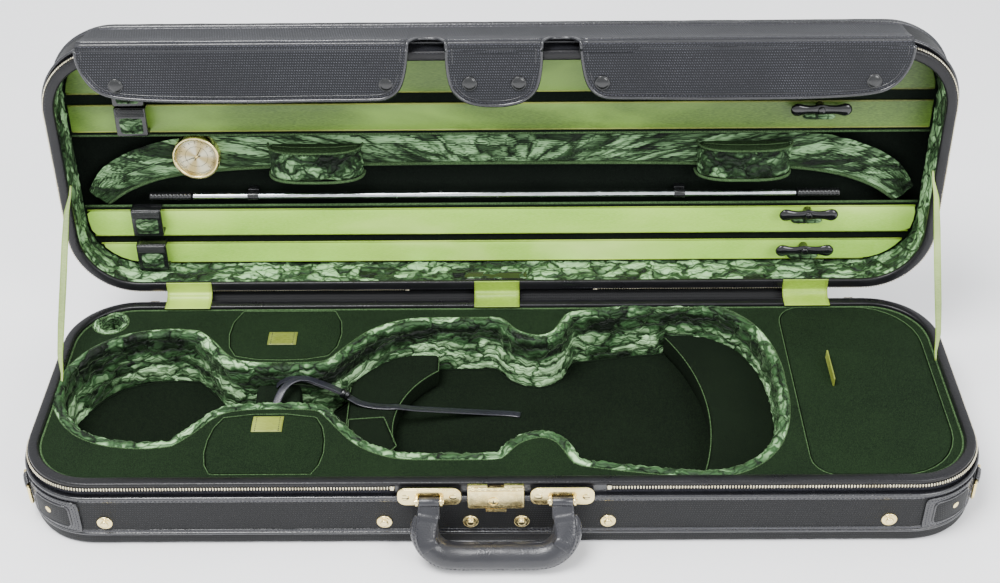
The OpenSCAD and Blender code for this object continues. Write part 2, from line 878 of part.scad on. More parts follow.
function side_lobe() = concat([[lobe_gap[1], 0]],
    arc([lobe_gap[1] + 14, 14 - flap_l + 2], 14, 180, 270, 5),
    [[230, 3 - flap_l]], arc([lobe_end - 30, 36 - flap_l], 30, 270, 360, 6), [[lobe_end, 0]]);
function centre_lobe() = concat([[-lobe_gap[0], 0]],
    arc([20 - lobe_gap[0], 20 - flap_l - centre_drop], 20, 180, 270, 6),
    arc([lobe_gap[0] - 20, 20 - flap_l - centre_drop], 20, 270, 360, 6), [[lobe_gap[0], 0]]);

module flap() {
    color(leather) in_flap() translate([0, flap_t/2, -0.3]) rotate([90, 0, 0])
        linear_extrude(flap_t) {
            polygon(side_lobe());
            mirror([1, 0]) polygon(side_lobe());
            polygon(centre_lobe());
        }
}

module flap_snaps() {
    color(black) in_flap() for (s = [-1, 1], x = stud_x) translate([s*x, 0, -snap_down])
        rotate([90, 0, 0]) {
            translate([0, 0, flap_t/2]) cylinder(h = 1.6, r = 6.6);
            translate([0, 0, -flap_t/2 - 2]) cylinder(h = 2, r = 5);
        }
}

base_shell();
base_lip();
base_piping();
base_zip();
deck();
well_lining();
well_floor();
neck_cradle();
bout_blocks();
pocket_liners();
round_well_cup();
lock_plate();
lock_button();
lock_cylinder();
handle_brackets();
handle();
brass_screws();
front_studs();
corner_patches();
d_ring_left();
d_ring_right();
zip_sliders();
neck_ribbon();
neck_ribbon_loop();
ribbon_toggle();
hinge_leaves_base();
hinge_leaves_lid();
hinge_pins();
spine_cover();
hinge_ribbons();
lid_stays();
rear_pocket_lid();
front_pocket_lid();
end_pocket_lid();
lid_shell();
lid_lip();
lid_piping();
lid_zip();
lid_border();
lid_back_panel();
arch_band();
bow_boards();
satin_strips();
bow_tip_clips();
turner_pads();
turner_1();
turner_2();
turner_3();
turner_4();
cushions();
hygrometer_case();
hygrometer_dial();
hygrometer_glass();
string_tube();
tube_caps();
label_plate();
lock_catch();
flap_root();
flap();
flap_snaps();
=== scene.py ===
"""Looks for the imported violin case: padded base and lid, open, with velvet lining."""
import math

import bmesh
import bpy
import numpy as np
from mathutils import Matrix, Vector, noise


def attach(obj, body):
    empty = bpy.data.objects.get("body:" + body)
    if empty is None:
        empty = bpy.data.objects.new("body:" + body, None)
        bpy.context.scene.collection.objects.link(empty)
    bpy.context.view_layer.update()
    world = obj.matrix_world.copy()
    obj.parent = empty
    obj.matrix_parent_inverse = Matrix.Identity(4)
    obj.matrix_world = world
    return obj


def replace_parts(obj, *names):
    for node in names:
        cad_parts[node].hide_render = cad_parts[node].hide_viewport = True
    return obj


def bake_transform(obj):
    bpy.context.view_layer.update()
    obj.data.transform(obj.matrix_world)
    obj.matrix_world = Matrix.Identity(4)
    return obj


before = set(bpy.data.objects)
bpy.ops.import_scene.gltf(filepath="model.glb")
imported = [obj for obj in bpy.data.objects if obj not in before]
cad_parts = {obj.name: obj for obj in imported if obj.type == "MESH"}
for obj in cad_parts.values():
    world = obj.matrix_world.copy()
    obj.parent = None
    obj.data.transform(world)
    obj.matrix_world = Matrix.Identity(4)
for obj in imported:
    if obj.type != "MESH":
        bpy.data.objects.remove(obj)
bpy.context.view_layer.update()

MM = 0.001
CASE_LENGTH, CASE_DEPTH, CORNER = 800, 250, 62      # the wall's plan
RIM_Z, LID_TALL = 65, 57                            # rim planes over the closed faces
DECK_Z = 61.5
HINGE_Y = 128                                       # the lid frame's origin, behind the base's middle
ARC_X, ARC_Y = CASE_LENGTH/2 - CORNER, CORNER - CASE_DEPTH/2      # middle of a front corner's arc

# ---------- camera, fitted to the photograph's view ----------
pitch, yaw, roll = math.radians(37.19), math.radians(-0.53), math.radians(-0.65)
ahead = Vector((math.sin(yaw)*math.cos(pitch), math.cos(yaw)*math.cos(pitch), -math.sin(pitch)))
right = Vector((math.cos(yaw), -math.sin(yaw), 0))
above = right.cross(ahead)
cam_x = right*math.cos(roll) + above*math.sin(roll)
cam_y = above*math.cos(roll) - right*math.sin(roll)
camera = bpy.data.objects.new("camera", bpy.data.cameras.new("camera"))
camera.data.sensor_width = 36
camera.data.lens = 55.296
spot = (0.0095, -1.01849, 0.93955)
camera.matrix_world = Matrix([(cam_x[i], cam_y[i], -ahead[i], spot[i]) for i in range(3)] + [(0, 0, 0, 1)])
bpy.context.scene.collection.objects.link(camera)
bpy.context.scene.camera = camera

# ---------- frames of the bodies, as 3 x 4 matrices in mm ----------
OPEN = math.radians(93)
S, C = math.sin(OPEN), math.cos(OPEN)
MID = -4
BASE = np.array([[1, 0, 0, 0], [0, 1, 0, 0], [0, 0, 1, 0]], float)
LID = np.array([[1, 0, 0, 0], [0, -C, S, HINGE_Y], [0, S, C, RIM_Z]])
FRONT = np.array([[1, 0, 0, MID], [0, 0, -1, -CASE_DEPTH/2], [0, 1, 0, 0]], float)


def leaning(degrees, origin):
    a = math.radians(degrees)
    return np.array([[1, 0, 0, origin[0]], [0, math.cos(a), math.sin(a), origin[1]],
                     [0, -math.sin(a), math.cos(a), origin[2]]])


def put(at, points):
    p = np.atleast_2d(np.asarray(points, float))
    return at(p) if callable(at) else p @ at[:, :3].T + at[:, 3]


def flips(at):
    return (not callable(at)) and np.linalg.det(at[:, :3]) < 0


HANDLE = leaning(25, (MID, -132.5, 54))
bend_at = put(LID, (0, 261, -6))[0]
FLAP = leaning(8, (MID, bend_at[1], bend_at[2]))


# ---------- mesh making ----------
class Piece:
    """Gathers shapes into one object; each add() may use its own frame and material."""

    def __init__(self, name, body, mats, at=BASE):
        self.name, self.body, self.at = name, body, at
        self.mats = mats if isinstance(mats, (list, tuple)) else [mats]
        self.v, self.f, self.uv, self.m = [], [], [], []
        self.n = 0

    def add(self, shape, mat=0, at=None, move=(0, 0, 0)):
        verts, faces, uv = shape
        at = self.at if at is None else at
        v = put(at, np.asarray(verts, float) + np.asarray(move, float))
        turn = flips(at)
        self.v.append(v)
        for k, f in enumerate(faces):
            g = [i + self.n for i in f]
            t = uv[k] if uv else [(v[i][0]*MM, v[i][1]*MM) for i in f]
            self.f.append(g[::-1] if turn else g)
            self.uv.extend(t[::-1] if turn else t)
            self.m.append(mat)
        self.n += len(v)
        return self

    def done(self, replaces=(), slot=None, smooth=True, sharp=None):
        me = bpy.data.meshes.new(self.name)
        me.from_pydata((np.concatenate(self.v)*MM).tolist(), [], self.f)
        layer = me.uv_layers.new(name="UVMap")
        layer.data.foreach_set("uv", np.array(self.uv, float).ravel())
        for m in self.mats:
            me.materials.append(m)
        me.polygons.foreach_set("material_index", self.m)
        me.polygons.foreach_set("use_smooth", [smooth]*len(self.f))
        if sharp:
            me.set_sharp_from_angle(angle=math.radians(sharp))
        ob = bpy.data.objects.new(self.name, me)
        bpy.context.scene.collection.objects.link(ob)
        if self.body:
            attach(ob, self.body)
        if replaces:
            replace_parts(ob, *replaces)
        return ob


def unit(v):
    v = np.asarray(v, float)
    return v/np.maximum(np.linalg.norm(v, axis=-1, keepdims=True), 1e-9)


def smooth_curve(p, m=3):
    p = np.asarray(p, float)
    out = []
    for i in range(len(p) - 1):
        a, b, c, d = p[max(i - 1, 0)], p[i], p[i + 1], p[min(i + 2, len(p) - 1)]
        for k in range(m):
            t = k/m
            out.append(0.5*(2*b + t*(c - a) + t*t*(2*a - 5*b + 4*c - d) + t**3*(3*b - a - 3*c + d)))
    return np.array(out + [p[-1]])


def resample(p, step, closed=False):
    p = np.asarray(p, float)
    if closed:
        p = np.vstack([p, p[:1]])
    s = np.concatenate([[0], np.cumsum(np.linalg.norm(np.diff(p, axis=0), axis=1))])
    n = max(2, int(round(s[-1]/step)))
    t = np.linspace(0, s[-1], n + 1)
    q = np.stack([np.interp(t, s, p[:, k]) for k in range(p.shape[1])], axis=1)
    return q[:-1] if closed else q


def outward(path, closed=True):
    """Outward normals of a counter-clockwise plan outline."""
    if closed:
        d = np.roll(path, -1, axis=0) - np.roll(path, 1, axis=0)
    else:
        d = np.gradient(path, axis=0)
    d = unit(d)
    return np.stack([d[:, 1], -d[:, 0]], axis=1)


def ccw(p):
    p = np.asarray(p, float)
    x, y = p[:, 0], p[:, 1]
    return p if np.sum(x*np.roll(y, -1) - np.roll(x, -1)*y) > 0 else p[::-1]


def case_outline(inset=0.0, step=4.0, n=12):
    """The case's plan, centred, starting at the middle of the front, with even steps."""
    l, d, r = CASE_LENGTH - 2*inset, CASE_DEPTH - 2*inset, CORNER - inset
    pts = [(0, -d/2)]
    for cx, cy, a0 in ((l/2 - r, r - d/2, -90), (l/2 - r, d/2 - r, 0), (r - l/2, d/2 - r, 90),
                       (r - l/2, r - d/2, 180)):
        for k in range(n + 1):
            a = math.radians(a0 + 90*k/n)
            pts.append((cx + r*math.cos(a), cy + r*math.sin(a)))
    return resample(pts, step, True)


def at_height(path, z):
    """A plan path as 3-D points at one height."""
    return np.column_stack([path, np.full(len(path), z)])


def circle(center, r, n, z=None):
    """Points round a circle, in plan or at a height."""
    pts = np.array([(center[0] + r*math.cos(a), center[1] + r*math.sin(a))
                    for a in np.linspace(0, 2*math.pi, n, endpoint=False)])
    return pts if z is None else at_height(pts, z)


def wobble(x, y, z):
    """Smooth noise between -1 and 1."""
    return noise.noise(Vector((x, y, z)))


def turned_over(shape, uv_too=False):
    """The same shape with its faces looking the other way."""
    v, f, uv = shape
    return v, [q[::-1] for q in f], [q[::-1] for q in uv] if uv_too else uv


def sweep(path, profile, closed=True, disp=None, normals=None):
    """Profile rows of (outward offset, height), carried along a plan path."""
    path = np.asarray(path, float)
    nrm = outward(path, closed) if normals is None else normals
    prof = np.asarray(profile, float)
    n, m = len(path), len(prof)
    t = lengths(prof)
    pd = unit(np.gradient(prof, axis=0))
    pn = np.stack([pd[:, 1], -pd[:, 0]], axis=1)
    s = lengths(np.vstack([path, path[:1]]))
    verts = np.zeros((n, m, 3))
    for i in range(n):
        for j in range(m):
            o, z = prof[j]
            if disp:
                k = disp(s[i], t[j], (path[i][0], path[i][1], z))
                o, z = o + pn[j][0]*k, z + pn[j][1]*k
            verts[i, j] = (path[i][0] + nrm[i][0]*o, path[i][1] + nrm[i][1]*o, z)
    faces, uv = [], []
    for i in range(n if closed else n - 1):
        k = (i + 1) % n
        for j in range(m - 1):
            faces.append([i*m + j, k*m + j, k*m + j + 1, i*m + j + 1])
            uv.append([(s[i]*MM, t[j]*MM), (s[i + 1]*MM, t[j]*MM), (s[i + 1]*MM, t[j + 1]*MM),
                       (s[i]*MM, t[j + 1]*MM)])
    return verts.reshape(-1, 3), faces, uv


def tube(points, radius, sides=8, closed=False, up=(0, 0, 1), flat=1.0, power=1.0):
    """Tube along 3-D points; radius may be a list, and flat squeezes it along up."""
    p = np.asarray(points, float)
    n = len(p)
    r = np.broadcast_to(np.asarray(radius, float), (n,))
    f = np.broadcast_to(np.asarray(flat, float), (n,))
    d = unit(np.roll(p, -1, 0) - np.roll(p, 1, 0)) if closed else unit(np.gradient(p, axis=0))
    ups = np.broadcast_to(np.asarray(up, float), (n, 3))
    side = unit(np.cross(d, ups))
    top = np.cross(side, d)
    s = lengths(np.vstack([p, p[:1]]))
    a = np.arange(sides)*2*math.pi/sides
    ca, sa = np.cos(a), np.sin(a)
    ca, sa = np.sign(ca)*abs(ca)**power, np.sign(sa)*abs(sa)**power
    v = (p[:, None, :] + (r[:, None]*ca)[..., None]*side[:, None, :]
         + ((r*f)[:, None]*sa)[..., None]*top[:, None, :]).reshape(-1, 3)
    faces, uv = [], []
    for i in range(n if closed else n - 1):
        k = (i + 1) % n
        for j in range(sides):
            q = (j + 1) % sides
            faces.append([i*sides + j, i*sides + q, k*sides + q, k*sides + j])
            c0, c1 = j/sides*6.28*r[i]*MM, (j + 1)/sides*6.28*r[i]*MM
            uv.append([(s[i]*MM, c0), (s[i]*MM, c1), (s[i + 1]*MM, c1), (s[i + 1]*MM, c0)])
    if not closed:
        for ring in ([j for j in range(sides)][::-1], [(n - 1)*sides + j for j in range(sides)]):
            faces.append(ring)
            uv.append([(0, 0)]*sides)
    return v, faces, uv


def lathe(profile, n=40, center=(0, 0, 0)):
    """Profile rows of (radius, height) turned about the local Z axis."""
    prof = np.asarray(profile, float)
    m = len(prof)
    v = []
    for i in range(n):
        a = math.radians(360*i/n)
        for r, z in prof:
            v.append((center[0] + r*math.cos(a), center[1] + r*math.sin(a), center[2] + z))
    t = lengths(prof)
    faces, uv = [], []
    rr = float(prof[:, 0].max())
    for i in range(n):
        k = (i + 1) % n
        for j in range(m - 1):
            f = [i*m + j, k*m + j, k*m + j + 1, i*m + j + 1]
            g = [(i/n*6.28*rr*MM, t[j]*MM), ((i + 1)/n*6.28*rr*MM, t[j]*MM),
                 ((i + 1)/n*6.28*rr*MM, t[j + 1]*MM), (i/n*6.28*rr*MM, t[j + 1]*MM)]
            if prof[j][0] < 1e-6:
                f, g = [f[0], f[2], f[3]], [g[0], g[2], g[3]]
            elif prof[j + 1][0] < 1e-6:
                f, g = [f[0], f[1], f[2]], [g[0], g[1], g[2]]
            faces.append(f)
            uv.append(g)
    return weld(np.array(v), faces, uv)


def weld(v, faces, uv, eps=1e-5):
    """Joins points that coincide."""
    key, remap, keep = {}, [], []
    for p in v:
        q = tuple(np.round(p/eps).astype(np.int64))
        if q not in key:
            key[q] = len(keep)
            keep.append(p)
        remap.append(key[q])
    out, ouv = [], []
    for f, t in zip(faces, uv):
        g, h = [], []
        for i, w in zip(f, t):
            if remap[i] not in g:
                g.append(remap[i])
                h.append(w)
        if len(g) > 2:
            out.append(g)
            ouv.append(h)
    return np.array(keep), out, ouv


def plate(outlines, z0, z1, r=0.5, res=2):
    """Flat plate with rounded edges; the first outline is the edge, others are holes."""
    cu = bpy.data.curves.new("plate", "CURVE")
    cu.dimensions = "2D"
    cu.fill_mode = "BOTH"
    cu.extrude = max((z1 - z0)/2 - r, 0)
    cu.bevel_depth, cu.bevel_resolution, cu.offset = r, res, -r
    for o in outlines:
        sp = cu.splines.new("POLY")
        sp.points.add(len(o) - 1)
        sp.use_cyclic_u = True
        for p, q in zip(sp.points, o):
            p.co = (q[0], q[1], 0, 1)
    ob = bpy.data.objects.new("plate", cu)
    me = bpy.data.meshes.new_from_object(ob)
    bm = bmesh.new()
    bm.from_mesh(me)
    bmesh.ops.remove_doubles(bm, verts=bm.verts, dist=0.002)
    bmesh.ops.recalc_face_normals(bm, faces=bm.faces)
    v = np.array([(p.co.x, p.co.y, p.co.z + (z0 + z1)/2) for p in bm.verts])
    bm.verts.index_update()
    faces = [[p.index for p in f.verts] for f in bm.faces]
    bm.free()
    bpy.data.objects.remove(ob)
    bpy.data.curves.remove(cu)
    bpy.data.meshes.remove(me)
    return v, faces, [[(v[i][0]*MM, v[i][1]*MM) for i in f] for f in faces]


def rounded(x0, x1, y0, y1, r, n=6):
    out = []
    for cx, cy, a0 in ((x1 - r, y1 - r, 0), (x0 + r, y1 - r, 90), (x0 + r, y0 + r, 180), (x1 - r, y0 + r, 270)):
        for k in range(n + 1):
            a = math.radians(a0 + 90*k/n)
            out.append((cx + r*math.cos(a), cy + r*math.sin(a)))
    return out


def grow(outline, g):
    p = ccw(outline)
    return p + outward(p)*g


def stations(p, ups, n, s):
    """Middles, directions and normals of n even stations along a 3-D line of lengths s."""
    middle = (np.arange(n) + 0.5)*s[-1]/n

    def at(t, q):
        return np.stack([np.interp(t, s, q[:, k]) for k in range(3)], axis=1)
    return at(middle, p), unit(at(middle + 0.3, p) - at(middle - 0.3, p)), unit(at(middle, ups))


def lengths(p):
    """Distance run along a line at each of its points."""
    return np.concatenate([[0], np.cumsum(np.linalg.norm(np.diff(p, axis=0), axis=1))])


def beads(points, length, gap, radius, up=(0, 0, 1), closed=False):
    """A row of spindle-shaped stitches along a 3-D line; up may be one normal or many."""
    p = np.asarray(points, float)
    ups = np.broadcast_to(np.asarray(up, float), p.shape)
    if closed:
        p, ups = np.vstack([p, p[:1]]), np.vstack([ups, ups[:1]])
    s = lengths(p)
    n = max(1, int(s[-1]/(length + gap)))
    c, d, u = stations(p, ups, n, s)
    w = unit(np.cross(d, u))
    far, near = d*length/2, d*length/2*0.55
    rows = [c - far, c - near + w*radius, c - near + u*radius, c - near - w*radius,
            c + near + w*radius, c + near + u*radius, c + near - w*radius, c + far]
    v = np.stack(rows, axis=1).reshape(-1, 3)
    base = [[0, 2, 1], [0, 3, 2], [1, 2, 5, 4], [2, 3, 6, 5], [4, 5, 7], [5, 6, 7], [0, 1, 4, 7, 6, 3]]
    faces = [[8*k + i for i in f] for k in range(n) for f in base]
    return v, faces, [[(0, 0)]*len(f) for f in faces]


def blocks(points, size, pitch, up):
    """A row of little chamfered blocks, such as zip teeth; size is along, across, high."""
    p = np.asarray(points, float)
    s = lengths(p)
    n = max(1, int(s[-1]/pitch))
    c, d, u = stations(p, np.broadcast_to(np.asarray(up, float), p.shape), n, s)
    w = unit(np.cross(d, u))
    a, b, h = size[0]/2, size[1]/2, size[2]
    corner = [(-1, -1), (1, -1), (1, 1), (-1, 1)]
    rows = [c + d*x*a + w*y*b for x, y in corner]
    rows += [c + d*x*a + w*y*b + u*h*0.6 for x, y in corner]
    rows += [c + d*x*a*0.6 + w*y*b*0.75 + u*h for x, y in corner]
    v = np.stack(rows, axis=1).reshape(-1, 3)
    base = [[0, 3, 2, 1], [8, 9, 10, 11]]
    for k in (0, 4):
        base += [[k + i, k + (i + 1) % 4, k + 4 + (i + 1) % 4, k + 4 + i] for i in range(4)]
    faces = [[12*k + i for i in f] for k in range(n) for f in base]
    return v, faces, [[(0, 0)]*4 for f in faces]


def grid(nx, ny, point):
    """Sheet of nx by ny cells; point(i/nx, j/ny) gives a 3-D point."""
    v = np.array([point(i/nx, j/ny) for i in range(nx + 1) for j in range(ny + 1)], float)
    q = v.reshape(nx + 1, ny + 1, 3)
    su = np.concatenate([[0], np.cumsum(np.linalg.norm(np.diff(q[:, ny//2], axis=0), axis=1))])*MM
    sv = np.concatenate([[0], np.cumsum(np.linalg.norm(np.diff(q[nx//2], axis=0), axis=1))])*MM
    faces, uv = [], []
    for i in range(nx):
        for j in range(ny):
            a = i*(ny + 1) + j
            faces.append([a, a + ny + 1, a + ny + 2, a + 1])
            uv.append([(su[i], sv[j]), (su[i + 1], sv[j]), (su[i + 1], sv[j + 1]), (su[i], sv[j + 1])])
    return v, faces, uv


def sheet(nx, ny, point):
    """Closed thin sheet; point(u, w, side) gives its front (side 1) and back (side -1)."""
    a, fa, ua = grid(nx, ny, lambda u, w: point(u, w, 1))
    c, fc, uc = grid(nx, ny, lambda u, w: point(u, w, -1))
    n = len(a)
    rim = [i*(ny + 1) for i in range(nx + 1)] + [nx*(ny + 1) + j for j in range(1, ny + 1)] + \
        [i*(ny + 1) + ny for i in range(nx - 1, -1, -1)] + list(range(ny - 1, 0, -1))
    side = [[k, i, i + n, k + n] for i, k in zip(rim, rim[1:] + rim[:1])]
    return np.vstack([a, c]), fa + [[i + n for i in q[::-1]] for q in fc] + side, \
        ua + [q[::-1] for q in uc] + [[(0, 0)]*4 for _ in side]


def loops_of(node, height, at=BASE, tol=0.06):
    """Plan outlines of a CAD node's faces that lie at a height in the frame at."""
    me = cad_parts[node].data
    inv = np.linalg.inv(np.vstack([at, [0, 0, 0, 1]]))
    co = np.array([v.co[:] for v in me.vertices])/MM @ inv[:3, :3].T + inv[:3, 3]
    key, idx = {}, []
    for p in co:
        k = (round(p[0], 2), round(p[1], 2)) if abs(p[2] - height) < tol else None
        idx.append(None if k is None else key.setdefault(k, len(key)))
    pts = list(key)
    count = {}
    me.calc_loop_triangles()
    for t in me.loop_triangles:
        q = [idx[i] for i in t.vertices]
        if None in q or len(set(q)) < 3:
            continue
        for a, b in ((q[0], q[1]), (q[1], q[2]), (q[2], q[0])):
            count[frozenset((a, b))] = count.get(frozenset((a, b)), 0) + 1
    near = {}
    for e, c in count.items():
        if c == 1:
            a, b = tuple(e)
            near.setdefault(a, []).append(b)
            near.setdefault(b, []).append(a)
    loops, used = [], set()
    for start in near:
        if start in used:
            continue
        loop, prev, here = [start], None, start
        used.add(start)
        while True:
            step = [k for k in near[here] if k != prev and (k not in used or (k == start and len(loop) > 2))]
            if not step or step[0] == start:
                break
            prev, here = here, step[0]
            used.add(here)
            loop.append(here)
        if len(loop) > 2:
            loops.append(ccw([pts[k] for k in loop]))
    loops.sort(key=lambda l: -(l[:, 0].max() - l[:, 0].min()))
    return loops


# ---------- materials ----------
def rgb(r, g, b):
    return tuple(((c/255 + 0.055)/1.055)**2.4 if c > 10 else c/255/12.92 for c in (r, g, b)) + (1,)


class Look:
    """One procedural material."""

    def __init__(self, name, color, rough=0.5, metal=0.0, **extra):
        self.mat = bpy.data.materials.new(name)
        self.mat.use_nodes = True
        self.t = self.mat.node_tree
        self.b = self.t.nodes["Principled BSDF"]
        self.b.inputs["Base Color"].default_value = rgb(*color)
        self.b.inputs["Roughness"].default_value = rough
        self.b.inputs["Metallic"].default_value = metal
        for k, v in extra.items():
            self.b.inputs[k.replace("_", " ")].default_value = rgb(*v) if isinstance(v, tuple) else v
        self.co = self.t.nodes.new("ShaderNodeTexCoord")
        self.last = None

    def node(self, kind, attrs=None, **inputs):
        n = self.t.nodes.new("ShaderNode" + kind)
        for k, v in (attrs or {}).items():
            setattr(n, k, v)
        for k, v in inputs.items():
            self.set(n.inputs[k.replace("_", " ")], v)
        return n

    def set(self, socket, v):
        if isinstance(v, bpy.types.NodeSocket):
            self.t.links.new(v, socket)
        else:
            socket.default_value = v

    def math(self, op, a, b=0.0):
        n = self.node("Math", {"operation": op})
        self.set(n.inputs[0], a)
        self.set(n.inputs[1], b)
        return n.outputs[0]

    def coord(self, stretch=(1, 1, 1), turn=(0, 0, 0), uv=False):
        src = self.co.outputs["UV" if uv else "Object"]
        return self.node("Mapping", Vector=src, Scale=stretch, Rotation=turn).outputs[0]

    def noise(self, scale, detail=3.0, rough=0.55, distort=0.0, stretch=(1, 1, 1), uv=False, turn=(0, 0, 0)):
        return self.node("TexNoise", Vector=self.coord(stretch, turn, uv), Scale=scale, Detail=detail,
                         Roughness=rough, Distortion=distort).outputs["Fac"]

    def cells(self, scale, stretch=(1, 1, 1), uv=False, feature="F1"):
        return self.node("TexVoronoi", {"feature": feature}, Vector=self.coord(stretch, uv=uv),
                         Scale=scale).outputs["Distance"]

    def ramp(self, fac, *stops):
        n = self.node("ValToRGB", Fac=fac)
        e = n.color_ramp.elements
        while len(e) < len(stops):
            e.new(0.5)
        for el, (p, c) in zip(e, stops):
            el.position = p
            el.color = rgb(*c) if isinstance(c, tuple) else (c, c, c, 1)
        return n.outputs["Color"]

    def mix(self, fac, a, b, blend="MIX"):
        n = self.node("Mix", {"data_type": "RGBA", "blend_type": blend})
        self.set(n.inputs[0], fac)
        self.set(n.inputs[6], rgb(*a) if isinstance(a, tuple) else a)
        self.set(n.inputs[7], rgb(*b) if isinstance(b, tuple) else b)
        return n.outputs[2]

    def bump(self, height, strength, distance):
        n = self.node("Bump", Height=height, Strength=strength, Distance=distance)
        if self.last:
            self.t.links.new(self.last, n.inputs["Normal"])
        self.last = n.outputs["Normal"]
        self.t.links.new(self.last, self.b.inputs["Normal"])
        return self

    def color(self, socket):
        self.t.links.new(socket, self.b.inputs["Base Color"])
        return self

    def rough(self, socket):
        self.t.links.new(socket, self.b.inputs["Roughness"])
        return self


def leather(name, dark, light, rough=0.5, grain=650, gloss=0.35):
    k = Look(name, light, rough, Sheen_Weight=0.02, Specular_IOR_Level=gloss)
    big = k.noise(9, 4)
    k.color(k.mix(k.noise(grain*0.8, 2), k.ramp(big, (0.3, dark), (0.75, light)), dark))
    k.rough(k.ramp(k.noise(40, 5), (0.3, rough - 0.1), (0.8, rough + 0.14)))
    k.bump(k.cells(grain, feature="SMOOTH_F1"), 0.35, 0.0004)
    k.bump(k.noise(60, 4, 0.6), 0.25, 0.0012)
    return k.mat


def leatherette(name, dark, light):
    """Embossed in fine rows of small slanting diamonds."""
    k = Look(name, dark, 0.5, Sheen_Weight=0.03, Specular_IOR_Level=0.3)
    uv = k.node("SeparateXYZ", Vector=k.coord(uv=True))
    warp = k.math("MULTIPLY", k.noise(260, 2, uv=True), 0.5)
    u, v = uv.outputs[0], uv.outputs[1]
    lean = k.math("ADD", k.math("ADD", k.math("MULTIPLY", u, 2900.0), k.math("MULTIPLY", v, 2100.0)), warp)
    row = k.math("ADD", k.math("MULTIPLY", v, 2650.0), warp)
    a = k.math("SINE", lean)
    b = k.math("SINE", row)
    dash = k.math("MULTIPLY", k.math("MAXIMUM", a, 0.0), k.math("MAXIMUM", b, 0.0))
    shade = k.math("MULTIPLY", dash, k.ramp(k.noise(14, 4), (0.3, 0.35), (0.7, 1.0)))
    k.color(k.mix(k.noise(420, 2), k.ramp(shade, (0.05, dark), (0.8, light)), dark))
    k.rough(k.ramp(shade, (0.1, 0.62), (0.8, 0.4)))
    k.bump(dash, 0.7, 0.0007)
    k.bump(k.noise(900, 2), 0.2, 0.0003)
    return k.mat


def velour(name, dark, mid, light, sheen):
    """Short nap that catches the light in cloudy patches."""
    k = Look(name, mid, 0.92, Sheen_Weight=sheen, Sheen_Roughness=0.45, Sheen_Tint=light, Specular_IOR_Level=0.1)
    cloud = k.noise(16, 5, 0.6, 0.6)
    speck = k.noise(1500, 2, 0.7)
    k.color(k.mix(k.ramp(speck, (0.42, 0.0), (0.62, 0.75)), k.ramp(cloud, (0.32, dark), (0.68, mid)), light))
    k.bump(speck, 0.5, 0.0006)
    k.bump(k.noise(70, 3), 0.3, 0.001)
    return k.mat


def crushed(name, dark, mid, bright, scale=1.0, stretch=(1, 0.4, 1), turn=0.5, uv=True, shade_tiers=()):
    """Crushed velvet: leaf-shaped gathers, each with its own painted sheen, and painted shade darkening the creases
    between them. It is laid out in the piece's own UV, along the run and across it."""
    k = Look(name, mid, 0.6, Sheen_Weight=0.2, Sheen_Roughness=0.35, Sheen_Tint=bright, Specular_IOR_Level=0.2)
    flat = k.coord(stretch, (0, 0, turn), uv)
    bent = k.node("TexNoise", Vector=k.coord(uv=uv), Scale=64*scale, Detail=2.5, Roughness=0.6)
    way = k.node("VectorMath", {"operation": "MULTIPLY_ADD"})
    k.set(way.inputs[0], bent.outputs["Color"])
    way.inputs[1].default_value = (0.013/scale, 0.013/scale, 0 if uv else 0.013/scale)
    k.set(way.inputs[2], flat)

    def leaves(size, rnd):
        kind = {"voronoi_dimensions": "2D" if uv else "3D"}
        cell = k.node("TexVoronoi", kind, Vector=way.outputs[0], Scale=size, Randomness=rnd)
        gap = k.node("TexVoronoi", {**kind, "feature": "DISTANCE_TO_EDGE"}, Vector=way.outputs[0], Scale=size,
                     Randomness=rnd)
        tone = k.node("SeparateColor", Color=cell.outputs["Color"]).outputs[0]
        return tone, gap.outputs["Distance"]
    tone, gap = leaves(104*scale, 0.95)
    tone2, gap2 = leaves(236*scale, 1.0)
    # painted shade: colour darkened near the edges of the large and small leaves, in the creases; the same masks also
    # drive the bump
    crease = k.ramp(gap, (0.0, 0.22), (0.1, 0.7), (0.34, 1.0))
    small = k.ramp(gap2, (0.0, 0.5), (0.22, 1.0))
    patch = k.ramp(k.noise(30*scale, 3, uv=uv), (0.34, 0.35), (0.56, 1.0))
    # painted sheen: each leaf lighter or darker, as if its nap caught the light its own way
    lit = k.math("ADD", k.math("MULTIPLY", tone, 0.7), k.math("MULTIPLY", tone2, 0.4))
    shade = k.math("MULTIPLY", k.math("MULTIPLY", lit, patch), k.math("MULTIPLY", crease, small))
    # painted shade: colour darkened by height up the wall, in a band under the deck's edge
    if shade_tiers:
        rise = k.node("SeparateXYZ", Vector=k.coord(uv=True)).outputs[1]
        rise = k.math("ADD", k.math("MULTIPLY", rise, 12.5), k.math("MULTIPLY", bent.outputs["Fac"], 0.12))
        shade = k.math("MULTIPLY", shade, k.ramp(rise, *shade_tiers))
    k.color(k.ramp(shade, (0.03, dark), (0.2, mid), (0.52, bright)))
    k.bump(k.math("ADD", crease, k.math("MULTIPLY", small, 0.4)), 0.8, 0.003)
    k.bump(k.noise(1500, 2), 0.2, 0.0004)
    return k.mat


def satin(name, dark, mid, bright, rough=0.36):
    """Woven ribbon with a long soft shine."""
    k = Look(name, mid, rough, Sheen_Weight=0.35, Sheen_Roughness=0.3, Sheen_Tint=bright, Anisotropic=0.5)
    wave = k.noise(7, 3, 0.5, 0.4, (1, 1, 2.5))
    thread = k.noise(2600, 2, 0.5, 0.0, (0.12, 1, 1))
    k.color(k.mix(k.ramp(thread, (0.35, 0.0), (0.7, 0.35)), k.ramp(wave, (0.3, dark), (0.5, mid), (0.72, bright)),
                  bright))
    k.bump(thread, 0.25, 0.0003)
    k.bump(k.noise(45, 3), 0.12, 0.001)
    return k.mat


